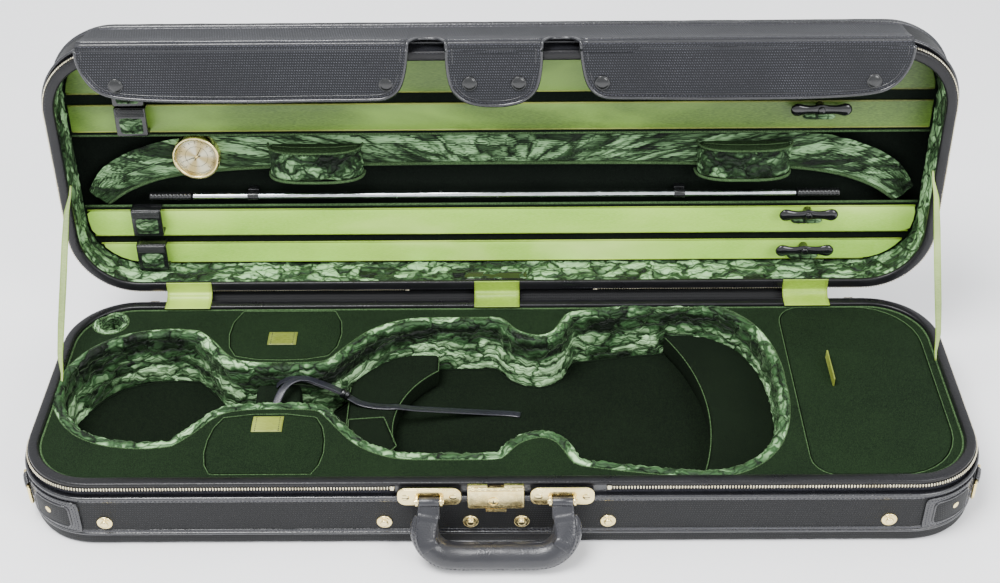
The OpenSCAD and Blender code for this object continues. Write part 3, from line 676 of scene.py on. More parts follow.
def metal(name, color, worn, rough=0.25):
    k = Look(name, color, rough, 1.0)
    k.color(k.mix(k.ramp(k.noise(55, 5, 0.65), (0.45, 0.0), (0.7, 0.8)), color, worn))
    k.rough(k.ramp(k.noise(180, 4), (0.3, rough - 0.08), (0.75, rough + 0.16)))
    k.bump(k.noise(900, 3, 0.6, 0, (0.15, 1, 1)), 0.12, 0.0002)
    return k.mat


def plastic(name, color, rough=0.2):
    k = Look(name, color, rough, 0.0, Coat_Weight=0.25, Coat_Roughness=0.12)
    k.color(k.mix(k.noise(120, 4), color, tuple(min(255, c + 12) for c in color)))
    k.rough(k.ramp(k.noise(90, 4), (0.3, rough - 0.06), (0.8, rough + 0.12)))
    k.bump(k.noise(1400, 2), 0.06, 0.0002)
    return k.mat


LEATHERETTE = leatherette("leatherette_wall", (8, 9, 11), (44, 46, 52))
FLAP_SKIN = leatherette("leatherette_flap", (22, 23, 27), (116, 118, 128))
SMOOTH = leather("smooth_leather", (20, 20, 24), (40, 41, 46), 0.24, gloss=0.8)
RIM = leather("rim_leather", (8, 8, 10), (24, 23, 28), 0.34)
BLACK_LEATHER = leather("handle_leather", (28, 28, 32), (46, 47, 53), 0.3, 900, 0.6)
TAPE = velour("zip_tape", (20, 20, 24), (34, 34, 40), (52, 52, 60), 0.1)
THREAD = satin("stitch_thread", (36, 36, 42), (54, 54, 62), (84, 84, 94), 0.5)
DARK_THREAD = satin("dark_thread", (26, 26, 31), (42, 42, 49), (66, 66, 75), 0.5)
GOLD = metal("brushed_brass", (255, 236, 172), (236, 206, 130), 0.2)
TEETH = metal("zip_metal", (232, 224, 196), (176, 164, 130), 0.3)
VELOUR = velour("deck_velour", (5, 14, 6), (13, 26, 12), (34, 52, 30), 0.03)
VELOUR_EDGE = velour("velour_edge", (26, 42, 23), (44, 64, 38), (92, 120, 80), 0.2)
FLOOR_VELOUR = velour("well_velour", (3, 8, 4), (8, 16, 8), (24, 36, 21), 0.03)
CRUSHED = crushed("crushed_velvet", (5, 12, 5), (40, 66, 37), (148, 190, 136), 0.86, (0.42, 1, 1), 0.35)
# the well's wall: folds along the run, with painted shade in a dark band under the deck's edge, brighter lower down
CRUSHED_WALL = crushed("crushed_velvet_wall", (6, 14, 6), (54, 86, 50), (172, 214, 158), 0.86, (0.36, 1, 1), -0.35,
                       shade_tiers=((0.05, 0.8), (0.2, 0.6), (0.26, 0.2), (0.42, 0.34), (0.48, 1.0), (1.0, 0.95)))
CRUSHED_DARK = crushed("crushed_velvet_band", (5, 12, 5), (40, 64, 36), (136, 176, 126), 0.75, (0.45, 1, 1), 0.9)
CUSHION_CRUSH = crushed("cushion_crushed", (5, 12, 5), (36, 60, 33), (130, 170, 120), 0.8, (0.55, 1, 0.8), 0.6, False)
SATIN = satin("satin_strip", (150, 208, 66), (174, 228, 84), (212, 248, 134))
# darker copy of the satin for the upper strips: painted shadow of the flap
SATIN_PAINTED_SHADOW = satin("satin_strip_painted_shadow", (48, 72, 10), (74, 104, 24), (130, 170, 64))
RIBBON = satin("hinge_ribbon", (88, 120, 22), (124, 158, 38), (178, 208, 86), 0.42)
TAB = satin("tab_ribbon", (58, 66, 14), (104, 114, 36), (168, 180, 88), 0.42)
STAY = satin("stay_ribbon", (104, 124, 60), (134, 156, 84), (178, 196, 128), 0.45)
BLACK_VELOUR = velour("black_velour", (3, 6, 4), (8, 14, 9), (22, 30, 23), 0.06)
BLACK_PLASTIC = plastic("black_plastic", (14, 15, 16), 0.22)
GLOSS_BLACK = plastic("gloss_black", (10, 10, 12), 0.12)
BLACK_SATIN = satin("black_ribbon", (10, 10, 13), (24, 24, 30), (70, 70, 84), 0.3)
CHROME = metal("tube_metal", (222, 226, 230), (190, 196, 202), 0.14)
CUSHION_TOP = velour("cushion_velour", (7, 15, 7), (18, 32, 16), (62, 86, 54), 0.12)

# the dial: four light and four dark sectors round its middle, a painted reflection of ring brushing
_dial = Look("dial_face", (232, 220, 178), 0.35, 0.35)
_ring = _dial.node("TexGradient", {"gradient_type": "RADIAL"}, Vector=_dial.coord(uv=True)).outputs["Fac"]
_sector_glint = _dial.math("ADD", _dial.math("MULTIPLY", _dial.math("SINE", _dial.math("MULTIPLY", _ring, 25.13)), 0.5), 0.5)
_dial.color(_dial.ramp(_sector_glint, (0.1, (206, 186, 128)), (0.9, (244, 238, 208))))
_dial.bump(_dial.noise(1600, 2), 0.1, 0.0002)
DIAL = _dial.mat
_glass = Look("clear_glass", (255, 255, 255), 0.03, Transmission_Weight=1.0, IOR=1.2, Alpha=0.25)
_glass.rough(_glass.ramp(_glass.noise(50, 3), (0.3, 0.02), (0.8, 0.06)))
GLASS = _glass.mat

# ---------- cords: the ribbon that ties the neck down ----------
tie_route = np.array([
    [-200, 22, 46], [-196, 22, 50], [-190, 21, 54], [-182, 20, 56], [-173, 20, 55], [-163, 20, 50],
    [-153, 20, 45], [-146, 20, 41], [-140, 20, 37], [-133, 18, 33], [-126, 16, 30], [-115, 14, 28.5],
    [-103, 13, 28], [-92, 13, 28], [-78, 15, 24], [-62, 18, 20], [-45, 21, 16], [-28, 24, 12],
    [-12, 26, 9], [4, 26, 8], [17, 24, 8]], float)
loop_route = np.array([
    [-198, -12, 46], [-197, -6, 49], [-195, 1, 52], [-192, 7, 55], [-187, 13, 57], [-180, 17, 58],
    [-172, 19, 56.8], [-163, 20, 51.8], [-153, 20, 46.8], [-146, 20, 42.8], [-141, 20, 39]], float)
TIE_W = 7


def tie(name, route):
    """Flat satin ribbon with a thicker woven edge."""
    p = smooth_curve(route, 4)
    b = Piece(name, "base", [BLACK_SATIN])
    b.add(tube(p, TIE_W/2, 12, flat=0.17, power=0.55))
    d = unit(np.gradient(p, axis=0))
    side = unit(np.cross(d, (0, 0, 1)))
    for s in (-1, 1):
        b.add(tube(p + side*s*(TIE_W/2 - 0.35), 0.42, 6), 0)
    return b.done(replaces=(name,), slot="black_ribbon"), p


toggle = Piece("slide_toggle", "base", [GLOSS_BLACK])
tilt = math.radians(32)
along = np.array([math.cos(tilt), 0, -math.sin(tilt)])
TOGGLE = np.column_stack([(0, 1, 0), np.cross(along, (0, 1, 0)), along, (-140, 20, 37.4)])
toggle.add(lathe([(0, -4.5), (2.4, -4.5), (3.7, -4.0), (4.4, -2.6), (4.6, -1.2), (4.15, -0.8), (4.15, 0.8),
                  (4.6, 1.2), (4.4, 2.6), (3.7, 4.0), (2.4, 4.5), (0, 4.5)], 28), at=TOGGLE)
toggle = toggle.done(replaces=("ribbon_toggle",), slot="black_ribbon", sharp=60)
ribbon_a, path_a = tie("neck_ribbon", tie_route)
ribbon_b, path_b = tie("neck_ribbon_loop", loop_route)
ribbon_a.name, ribbon_b.name = "neck_tie_long", "neck_tie_short"

# ---------- base: shell, rim, piping and zip ----------


def creases(s, t, p):
    """Slight unevenness of leather over padding."""
    q = np.asarray(p)
    return 0.22*wobble(*(q/22)) + 0.1*wobble(*(q/7 + (3.1, 0, -3.1)))


def wall_profile(top):
    return [(-3, 0), (-1.3, 0.35), (-0.4, 1.1), (0, 2.6), (0, 6), (0, 11.5), (0, 14)] + \
        [(0, 14 + (top - 14)*k/8) for k in range(1, 9)]


def lip_profile(z):
    rows = [(-3, 0), (-3, 1.7), (-3.4, 2.6), (-4.4, 3), (-7.5, 3.0), (-10.6, 3), (-11.6, 2.6), (-12, 1.7), (-12, 0)]
    return [(o, z + h) for o, h in rows]


def zip_lines(inset):
    """The two runs of the zip, each from the handle round one end to the hinge."""
    p = case_outline(inset, 2.0, 24)
    keep = np.array([q for q in p if q[0] > 0 and (q[0] > 85 if q[1] < 0 else q[0] > 334)])
    other = keep*[-1, 1]
    return [(keep, outward(keep, False)), (other, outward(other[::-1], False)[::-1])]


def rim_parts(name, at, top, flip):
    """Wall, smooth band, rim, piping, stitching and zip of one half of the case; heights
    run from the closed face at 0 to the rim plane at top."""
    def h(z):
        return top - z if flip else z

    def prof(rows):
        rows = [(o, h(z)) for o, z in rows]
        return rows[::-1] if flip else rows
    body = "lid" if flip else "base"
    band = top - 15
    centre = (0, 128, 0) if flip else (0, 0, 0)
    path = case_outline(0, 4.0)
    wide = case_outline(0, 8.0, 16)
    lines = zip_lines(2.9)
    out3 = np.column_stack([outward(path), np.zeros(len(path))])

    def ring3(offset, z):
        return at_height(path + outward(path)*offset, h(z))
    wall = Piece(name + "_wall", body, [LEATHERETTE, SMOOTH], at)
    wall.add(sweep(path, prof(wall_profile(band)), disp=creases), move=centre)
    wall.add(sweep(path, prof([(0, band), (-1.5, band + 0.4), (-2.9, band + 0.5), (-3, band + 3), (-3, top - 4.5),
                                (-3, top - 3)])), 1, move=centre)
    z0, z1 = sorted((h(0), h(4)))
    wall.add(plate([case_outline(3.0, 6.0)], z0, z1, 0.4), 0 if flip else 1, move=centre)
    wall.add(sweep(wide, prof([(-6, top - 4), (-6, 4)])), 1, move=centre)
    wall.add(sweep(wide, prof([(-3, top - 3.05), (-6, top - 3.05), (-6, top - 4)])), 1, move=centre)
    wall.done(replaces=(("lid_shell",) if flip else ("base_shell",)), slot="leatherette")

    rim = Piece(name + "_rim", body, [RIM, DARK_THREAD], at)
    rim.add(sweep(path, prof(lip_profile(top - (3 if not flip else 3.8))),
                  disp=lambda s, t, p: 0.5*creases(s, t, p)), move=centre)
    rim.add(beads(ring3(-4.6, top - (0.1 if not flip else 0.9)), 2.0, 1.3, 0.22, (0, 0, -1 if flip else 1), True),
            1, move=centre)
    rim.done(replaces=(name + "_lip",), slot="rim_trim")

    pipe = Piece(name + "_welts", body, [SMOOTH, THREAD, DARK_THREAD], at)
    for z, o in ((band + 1.7, -0.1), (11.7 if not flip else 8.3, -0.1)):
        pipe.add(tube(ring3(o, z), 1.6, 10, True), move=centre)
        pipe.add(sweep(path, prof([(0.02, z - 4.4), (0.4, z - 4.2), (0.45, z - 1.6), (0.1, z - 0.8)])
                       if z > 20 else prof([(0.1, z + 0.8), (0.45, z + 1.6), (0.4, z + 4.2), (0.02, z + 4.4)])),
                 move=centre)
        pipe.add(beads(ring3(0.5, z - 3 if z > 20 else z + 3), 2.4, 1.1, 0.3, out3, closed=True), 1, move=centre)
    pipe.done(replaces=(name + "_piping",), slot="smooth_leather")

    zz = top - (5 if not flip else 4)
    fast = Piece(name + "_zip_track", body, [TAPE, TEETH, DARK_THREAD], at)
    for line, nrm in lines:
        way = 1 if line[0][0] > 0 else -1
        fast.add(sweep(line[::way], prof([(-0.1, zz - 5.4), (0.35, zz - 5.4), (0.35, zz + 1.2), (-0.1, zz + 1.2)]),
                       False, normals=nrm[::way]), 0, move=centre)
        pts = at_height(line + nrm*0.35, h(zz))
        up = np.column_stack([nrm, np.zeros(len(nrm))])
        fast.add(blocks(pts, (1.35, 3.0, 1.2), 2.4, up), 1, move=centre)
        fast.add(beads(pts - [0, 0, (h(1) - h(0))*3.6], 1.6, 1.0, 0.2, up), 2, move=centre)
        stop = np.array([pts[0], pts[0] + (pts[1] - pts[0])*2.2])
        fast.add(blocks(stop, (4.2, 4.2, 1.6), 5.0, up[:2]), 1, move=centre)
    fast.done(replaces=(name + "_zip",), slot="gold")


rim_parts("base", BASE, RIM_Z, False)
rim_parts("lid", LID, LID_TALL, True)

# ---------- deck ----------
well = resample(ccw(loops_of("well_floor", 7)[0]), 1.9, True)
well_n = outward(well)
for _ in range(3):
    well_n = unit(np.roll(well_n, 1, 0) + well_n + np.roll(well_n, -1, 0))
upper = {n: loops_of(n + "_pocket_lid", DECK_Z)[0] for n in ("rear", "front", "end")}
ROUND = (-360.5, 93.5)


def widened(g):
    """The well's outline moved out by g, every second point."""
    return (well + well_n*g)[::2]


def cut(outline):
    return ccw(outline)[::-1]


deck = Piece("deck_board", "base", [VELOUR, VELOUR_EDGE])
deck.add(plate([case_outline(8.0, 6.0), cut(widened(5.5))] + [cut(grow(upper[n], 0.8)) for n in upper]
               + [cut(circle(ROUND, 14, 40))], 58.6, DECK_Z, 0.3, 1))
# a cord of the lighter edge velour round the deck's outer rim: painted highlight along its rolled edge
deck.add(tube(at_height(case_outline(13.2, 5.0), DECK_Z), 0.9, 8, True), 1)
for n in upper:
    deck.add(tube(at_height(resample(grow(upper[n], 1.5), 3, True), DECK_Z), 0.45, 8, True), 1)
deck.add(tube(at_height(widened(9.2), DECK_Z), 0.45, 8, True), 1)
deck.done(replaces=("deck",), slot="velour")


def ruched(size, tall, amp, seed=0.0):
    """Leaf-shaped gathers, long across the run and close together along it."""
    def f(s, t, p):
        wob = 5.0*wobble(p[0]/30 + seed, p[1]/30, t/18)
        q = Vector(((p[0] + wob)/size + seed, (p[1] + wob)/size, t/tall + seed))
        a = 1 - abs(noise.noise(q))*2.6
        b = 1 - abs(noise.noise(q*2.1 + Vector((7, 3, 1))))*2.2
        return amp*(a*0.75 + b*0.35 - 0.35)
    return f


rim_roll = [(9.0, 61.4), (8.4, 62.2), (6.8, 63.0), (4.8, 63.2), (3.0, 62.9), (1.4, 62.1), (0.4, 60.8), (0, 59.0)]
down = [(0, 59 - 2.2*k) for k in range(1, 23)] + [(0, 8.5), (0.3, 7.0)]
lining = Piece("well_lining_ruched", "base", [CRUSHED_WALL])


def gather(s, t, p):
    k = ruched(13, 26, 2.3)(s, t, p)
    if t < 14:
        k = 0.75*ruched(6.0, 30, 1.8, 4.0)(s, t, p)
    edge = min(1.0, t/2.5)
    return max(k, -1.6)*edge


lining.add(sweep(well, rim_roll + down, disp=gather, normals=well_n))
lining.done(replaces=("well_lining",), slot="crushed_velvet")

bed = Piece("well_bed", "base", [FLOOR_VELOUR])
bed.add(plate([widened(0.6)], 4.2, 7.0, 0.3, 1))
bed.add(tube(at_height(widened(-1.0), 7.1), 1.1, 8, True), 0)
bed.done(replaces=("well_floor",), slot="velour")


# ---------- padded blocks: softened from the CAD solids ----------
def apply_all(ob):
    bpy.context.view_layer.update()
    deps = bpy.context.evaluated_depsgraph_get()
    me = bpy.data.meshes.new_from_object(ob.evaluated_get(deps))
    old = ob.data
    ob.modifiers.clear()
    ob.data = me
    bpy.data.meshes.remove(old)


def remesh(ob, voxel, rounds):
    r = ob.modifiers.new("remesh", "REMESH")
    r.mode, r.voxel_size, r.use_smooth_shade = "VOXEL", voxel*MM, True
    s = ob.modifiers.new("smooth", "SMOOTH")
    s.factor, s.iterations = 0.5, rounds
    apply_all(ob)


def soften(name, node, mat):
    """The CAD solid remeshed, with its corners rounded and a slight unevenness."""
    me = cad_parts[node].data.copy()
    me.name = name
    bm = bmesh.new()
    bm.from_mesh(me)
    bmesh.ops.remove_doubles(bm, verts=bm.verts, dist=1e-5)
    bm.to_mesh(me)
    bm.free()
    ob = bpy.data.objects.new(name, me)
    bpy.context.scene.collection.objects.link(ob)
    remesh(ob, 3.0, 6)
    for v in ob.data.vertices:
        v.co = v.co + v.normal*(noise.noise(v.co*70)*0.35 + noise.noise(v.co*190)*0.12)*MM
    for p in ob.data.polygons:
        p.use_smooth = True
    ob.data.materials.clear()
    ob.data.materials.append(mat)
    return ob


def on_body(ob, body, replaces=()):
    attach(ob, body)
    if replaces:
        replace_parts(ob, *replaces)
    return ob


for name, node in (("bout_supports", "bout_blocks"), ("neck_rest", "neck_cradle")):
    on_body(soften(name, node, FLOOR_VELOUR), "base", (node,))

# light seams along the top edges of the blocks, where they stand clear of the well's wall
seams = Piece("support_seams", "base", [VELOUR_EDGE])
for z in (27, 30, 38):
    for loop in loops_of("bout_blocks", z):
        q = resample(loop, 2.0, True)
        gap = np.linalg.norm(q[:, None, :] - well[None, :, :], axis=2).min(axis=1)
        clear = gap > 2.6
        start = int(np.argmin(clear))
        order = list(np.roll(np.arange(len(q)), -start))
        run = []
        for i in order + order[:1]:
            if clear[i]:
                run.append(q[i])
            else:
                if len(run) > 4:
                    seams.add(tube(at_height(np.array(run), z - 0.6), 0.5, 8))
                run = []
seams.done(slot="velour")

# ---------- round well ----------
cup = Piece("round_well_dish", "base", [CRUSHED, VELOUR_EDGE])
rows = [(16.0, 61.6), (15.2, 62.5), (13.6, 62.9), (12.2, 62.5), (11.0, 61.2), (10.6, 59)] + \
    [(10.5, 59 - 2.6*k) for k in range(1, 9)] + [(9.6, 35.5), (7.5, 34.7), (4, 34.6), (0, 34.6)]
v, f, uv = lathe(rows, 72, (ROUND[0], ROUND[1], 0))
g = ruched(6, 16, 1.1, 2.0)
v = np.array([p + np.array([*(unit(np.array([ROUND[0] - p[0], ROUND[1] - p[1]]))*g(0, p[2], p)), 0])
              if np.hypot(p[0] - ROUND[0], p[1] - ROUND[1]) > 3 else p for p in v])
cup.add(turned_over((v, f, uv)))
cup.add(tube(circle(ROUND, 16.4, 48, 61.6), 0.6, 8, True), 1)
cup.done(replaces=("round_well_cup",), slot="crushed_velvet")


# ---------- pocket lids and tabs ----------
def pocket_lid(name):
    b = Piece(name + "_lid_panel", name + "_pocket_lid", [VELOUR, TAB, DARK_THREAD])
    b.add(plate([upper[name]], 59.3, DECK_Z, 0.7, 2))
    b.add(tube(at_height(resample(grow(upper[name], -0.6), 3, True), 61.2), 0.65, 8, True))
    return b


def strap(x0, x1, y0, y1):
    """Ribbon lying on the deck's level, slightly crowned."""
    def point(u, w, side):
        return (x0 + (x1 - x0)*u, y0 + (y1 - y0)*w, DECK_Z + (0.5 if side > 0 else 0) + 0.55*math.sin(math.pi*w))
    return sheet(10, 14, point)


rear, front, end = pocket_lid("rear"), pocket_lid("front"), pocket_lid("end")
rear.add(strap(-212, -186, 60.5, 78.5), 1)
front.add(strap(-211.5, -185.5, -56, -36.8), 1)
for k in (-208.5, -188.5):
    front.add(beads([(k, -56, 62.2), (k, -50, 62.45), (k, -42, 62.45), (k, -37.3, 62.15)], 1.7, 0.6, 0.42), 2)
for k in (-209, -189):
    rear.add(beads([(k, 61, 62.2), (k, 66, 62.4), (k, 73, 62.45), (k, 78, 62.1)], 1.7, 0.6, 0.42), 2)
STAND = np.array([[0, 0, 1, 289.4], [1, 0, 0, 0], [0, 1, 0, 61.3]], float)
end.add(plate([rounded(-0.8, 38.8, -0.6, 9.1, 1.2, 4)], 0, 1.2, 0.3, 1), 1, at=STAND)
for k in (1.2, 36.8):
    end.add(beads([(k, 1, 1.25), (k, 8, 1.25)], 1.4, 0.8, 0.2), 2, at=STAND)
for name, b in (("rear", rear), ("front", front), ("end", end)):
    b.done(replaces=(name + "_pocket_lid",), slot="velour")

# ---------- front hardware ----------
def shade_cad(mat, *nodes):
    for n in nodes:
        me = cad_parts[n].data
        me.materials.clear()
        me.materials.append(mat)
        me.polygons.foreach_set("material_index", [0]*len(me.polygons))


shade_cad(GOLD, "d_ring_left", "d_ring_right", "zip_sliders", "hinge_pins", "hinge_leaves_base", "hinge_leaves_lid",
          "lock_catch", "lock_button")
shade_cad(BLACK_VELOUR, "lid_back_panel")
shade_cad(FLOOR_VELOUR, "pocket_liners")

brackets = Piece("handle_mounts", "base", [GOLD], FRONT)
for s in (-1, 1):
    x = 54*s
    brackets.add(plate([rounded(x - 26, x + 26, 46, 64.5, 7, 8)], 1.6, 3.2, 0.55, 3))
    brackets.add(plate([rounded(x - 24.5, x + 24.5, 47.4, 63.2, 6, 6)], 3.0, 3.42, 0.2, 1))
    brackets.add(plate([rounded(x - 22, x + 22, 47.5, 49.8, 1, 2)], 0, 1.7, 0.1, 1))
    for k in (-1, 1):
        e = x + k*9.9
        post = [(3.4, 50.2), (7.5, 50.2)] + [(7.5 + 3.8*math.sin(a), 54 - 3.8*math.cos(a))
                                             for a in np.linspace(0, math.pi, 9)] + [(3.4, 57.8)]
        side = np.array([[0, 0, 1, MID], [-1, 0, 0, -CASE_DEPTH/2], [0, 1, 0, 0]], float)
        brackets.add(plate([post], e - 1, e + 1, 0.35, 2), at=side)
    brackets.add(tube([(x - 12, 54, 7.5), (x + 12, 54, 7.5)], 2.0, 16))
    brackets.add(tube([(x - 12, 50.6, 3.9), (x, 50.2, 3.9), (x + 12, 50.6, 3.9)], 0.9, 8))
brackets.done(replaces=("handle_brackets",), slot="gold", sharp=50)

lock = Piece("lock_face", "base", [GOLD], FRONT)
lock.add(plate([rounded(-23, 23, 42, 64.6, 2.2, 4)], 1.6, 3.2, 0.5, 3))
lock.add(plate([rounded(-21.2, 21.2, 44, 61.5, 1.5, 4)], 3.0, 3.45, 0.2, 1))
for k in range(9):
    lock.add(tube([(-22.2 + k*5.0, 63.6, 3.0), (-19.2 + k*5.0, 63.6, 3.0)], 1.15, 8), 0)
lock.add(tube([(-22.6, 62.4, 3.1), (22.6, 62.4, 3.1)], 0.7, 8), 0)
for x0, x1, z1 in ((-23, -6.4, 64.6), (-6.6, 6.6, 58.6), (6.4, 23, 64.6)):     # the catch drops between them
    lock.add(plate([rounded(x0, x1, 54, z1, 1, 2)], -2.6, 1.7, 0.2, 1))
lock.add(lathe([(0, 3.46), (4.6, 3.46), (4.6, 3.9), (4.2, 4.1), (3.4, 4.1), (3.2, 3.5)], 36, (-2, 50, 0)), 0)
lock.done(replaces=("lock_plate",), slot="gold", sharp=50)
key = Piece("lock_key_way", "lock_cylinder", [GOLD, BLACK_PLASTIC], FRONT)
key.add(lathe([(0, 3.95), (2.4, 3.95), (2.95, 3.7), (2.95, 1.8), (0, 1.8)], 28, (-2, 50, 0)))
key.add(plate([rounded(-2.45, -1.55, 48.2, 51.8, 0.4, 3)], 3.9, 4.0, 0.04, 1), 1)
key.done(replaces=("lock_cylinder",), slot="gold", sharp=50)

rivets = Piece("screws_and_rivets", "base", [GOLD, BLACK_PLASTIC], FRONT)
for s in (-1, 1):
    for x in (34.5, 73.5):
        rivets.add(lathe([(0, 4.35), (1.4, 4.3), (2.8, 3.95), (3.5, 3.3), (3.6, 3.1)], 28, (x*s, 55, 0)))
        rivets.add(plate([rounded(x*s - 2.6, x*s + 2.6, 54.65, 55.35, 0.3, 2)], 4.2, 4.4, 0.05, 1), 1)


def corner(s, a):
    """Frame at a front corner: arc length from the patch's middle, height, depth outward."""
    def f(p):
        ang = math.radians(a) + p[:, 0]/CORNER
        r = CORNER + p[:, 2]
        return np.stack([s*(ARC_X + r*np.cos(ang)), ARC_Y - r*np.sin(ang), p[:, 1]], axis=1)
    return f


def mapped(shape, at, s):
    """Puts a shape through a corner's frame, and turns its faces to look outward."""
    v, f, uv = shape
    v = at(np.asarray(v, float))
    return (v, f, uv) if s < 0 else turned_over((v, f, uv), True)


patches = Piece("corner_guards", "base", [SMOOTH, THREAD, LEATHERETTE])
for s in (-1, 1):
    half = 26.0
    mid_a = 33 + 24.5 if s < 0 else 82 - 24.5
    at = corner(s, mid_a)
    patches.add(mapped(grid(34, 16, lambda u, w: (-half + 2*half*u, 14.2 + 31.8*w, 1.05
                       + 0.5*min(1, 8*min(u, 1 - u, w, 1 - w)))), at, s), 0)
    for inset, rad, lift in ((0, 0.9, 0.75), (7.6, 0.9, 1.65)):
        loop = resample(rounded(-half + inset, half - inset, 14 + inset*0.62, 46.2 - inset*0.62, 4, 6), 2.0, True)
        patches.add(mapped(tube(at_height(loop, lift), rad, 8, True), at, s), 0)
    patches.add(mapped(grid(24, 10, lambda u, w: (-half + 8 + (2*half - 16)*u, 19 + 22.2*w, 1.9
                       + 0.5*min(1, 6*min(u, 1 - u, w, 1 - w)))), at, s), 2)
    for inset in (2.0, 4.2):
        loop = resample(rounded(-half + inset, half - inset, 14 + inset, 46.2 - inset, 3.5, 5), 2.0, True)
        p3 = at(at_height(loop, 1.55))
        nr = unit(p3 - np.array([s*ARC_X, ARC_Y, 0])*[1, 1, 0] - p3*[0, 0, 1])
        patches.add(beads(p3, 1.7, 1.0, 0.25, nr, closed=True), 1)
    rivet = corner(s, 55)
    rivets.add(mapped(lathe([(0, 3.0), (1.3, 2.95), (2.8, 2.6), (3.7, 1.8), (3.8, 1.2)], 28, (0, 31, 0)), rivet, s),
               at=BASE)
    tab = corner(s, 21)
    tab_shape = plate([rounded(-7, 7, 23.0, 39.6, 1.5, 4)], 0, 1.7, 0.4, 2)
    patches.add(mapped(tab_shape, tab, s), 0)
    fold = [(0, 32.6, 1.6), (0, 33.6, 3.9), (0, 35.2, 5.0), (0, 37.2, 5.0), (0, 38.8, 3.8), (0, 39.3, 1.7)]
    for k in np.linspace(-6.2, 6.2, 9):
        patches.add(mapped(tube([(k, z, d*0.94) for _, z, d in fold], 0.95, 8), tab, s), 0)
    for k in (-5.8, 5.8):
        p3 = tab(np.array([(k, z, 1.75) for z in np.linspace(24, 32, 6)]))
        nr = unit((p3 - [s*ARC_X, ARC_Y, 0])*[1, 1, 0])
        patches.add(beads(p3, 1.5, 0.9, 0.22, nr), 1)
patches.done(replaces=("corner_patches",), slot="leatherette")
rivets.done(replaces=("brass_screws",), slot="gold", sharp=50)

STUDS = (21, 92, 323)
studs = Piece("snap_studs", "base", [GOLD], FRONT)
for s in (-1, 1):
    for x in STUDS:
        studs.add(lathe([(0, 3.8), (1.6, 3.75), (2.9, 3.3), (3.4, 2.5), (3.0, 1.5), (3.6, 1.05), (4.9, 0.8),
                         (5.4, 1.15), (6.1, 1.1), (6.5, 0.6), (6.5, 0)], 40, (x*s, 24.5, 0)))
studs.done(replaces=("front_studs",), slot="gold", sharp=70)

# ---------- handle: padded grip with welted seams, on two straps ----------
half_grip = smooth_curve([(57, -12.5), (58, -20), (57.5, -29), (52.5, -38), (43, -44.5), (30, -46.34), (12, -46.34),
                          (0, -46.34)], 4)
m = len(half_grip)
w_half = [min(12, 8.5 + 0.8*i) for i in range(m)]
t_half = [min(12, 3 + 0.8*i) for i in range(m)]
line = np.array([(x, 0, z) for x, z in half_grip] + [(-x, 0, z) for x, z in half_grip[::-1][1:]])
w_all = np.array(w_half + w_half[::-1][1:], float) - 0.35
t_all = np.array(t_half + t_half[::-1][1:], float) - 0.35
grip = Piece("handle_grip", "handle", [BLACK_LEATHER, DARK_THREAD], HANDLE)
shape = tube(line, w_all, 28, up=(0, 1, 0), flat=t_all/w_all)
v = np.array([p + unit(p - line[i//28])*0.25*wobble(*(p*0.12)) for i, p in enumerate(shape[0])])
grip.add((v, shape[1], shape[2]))
d = unit(np.gradient(line, axis=0))
side = unit(np.cross(d, (0, 1, 0)))
for a in (0.94, -0.94):
    grip.add(tube(line + side*(w_all*a)[:, None] + np.array([0, -0.6, 0]), 0.85, 8))
for sgn in (-1, 1):
    for a in (0.80, -0.80):
        face = line + side*(w_all*a)[:, None]
        face[:, 1] = sgn*t_all*0.61
        grip.add(beads(face[2:-2], 2.2, 1.3, 0.28, (0, sgn, 0)), 1)
for s in (-1, 1):
    x = 54*s
    strip_v, strip_f, strip_uv = lathe([(2.15, -8.4), (3.7, -8.4), (3.95, -8.0), (3.95, 8.0), (3.7, 8.4), (2.15, 8.4),
                                        (2.15, -8.4)], 28)
    turn = np.array([[0, 0, 1, x], [1, 0, 0, 0], [0, 1, 0, 0]], float)
    grip.add((put(turn, strip_v), strip_f, strip_uv))
    grip.add(plate([rounded(x - 8.4, x + 8.4, -14.5, -2.2, 1.2, 4)], -2, 2, 0.8, 2),
             at=np.column_stack([HANDLE[:, 0], HANDLE[:, 2], -HANDLE[:, 1], HANDLE[:, 3]]))
    limb = smooth_curve([(54.0, -3), (54.6, -9), (55.8, -16), (56.8, -24), (56.2, -31), (52.6, -37)], 4)
    deep = np.interp(-limb[:, 1], -line[:m, 2], t_all[:m]) + 0.75
    deep = np.where(limb[:, 1] > -12.4, np.interp(-limb[:, 1], [3, 10, 12.6], [2.2, 2.5, deep[8]]), deep)
    deep[-3:] -= [0.3, 0.6, 0.9]
    route = np.column_stack([limb[:, 0]*s, np.zeros(len(limb)), limb[:, 1]])
    grip.add(tube(route, 8.9, 20, up=(0, 1, 0), flat=deep/8.9, power=0.35))
    across = unit(np.cross(unit(np.gradient(route, axis=0)), (0, 1, 0)))
    for k in (-7.0, 7.0):
        for sgn in (-1, 1):
            grip.add(beads(route + across*k + np.column_stack([deep*0, sgn*deep, deep*0]), 1.9, 1.1, 0.27,
                           (0, sgn, 0)), 1)
handle_ob = grip.done(replaces=("handle",), slot="smooth_leather")

# ---------- hinge side: spine cover, hinge ribbons and stays ----------


def lid_yz(v, h):
    q = put(LID, (0, v, h))[0]
    return q[1], q[2]


def band(name, rows, x0, x1, t, mats, nx):
    """Cloth band of thickness t that follows [y, z] rows from x0 to x1."""
    r = smooth_curve(rows, 4)
    d = unit(np.gradient(r, axis=0))
    nr = np.stack([-d[:, 1], d[:, 0]], axis=1)
    last = len(r) - 1

    def point(u, w, side):
        i = int(round(w*last))
        k = side*t/2
        return (x0 + (x1 - x0)*u, r[i][0] + nr[i][0]*k, r[i][1] + nr[i][1]*k)
    b = Piece(name, None, mats)
    b.add(sheet(nx, last, point))
    return b, r, nr


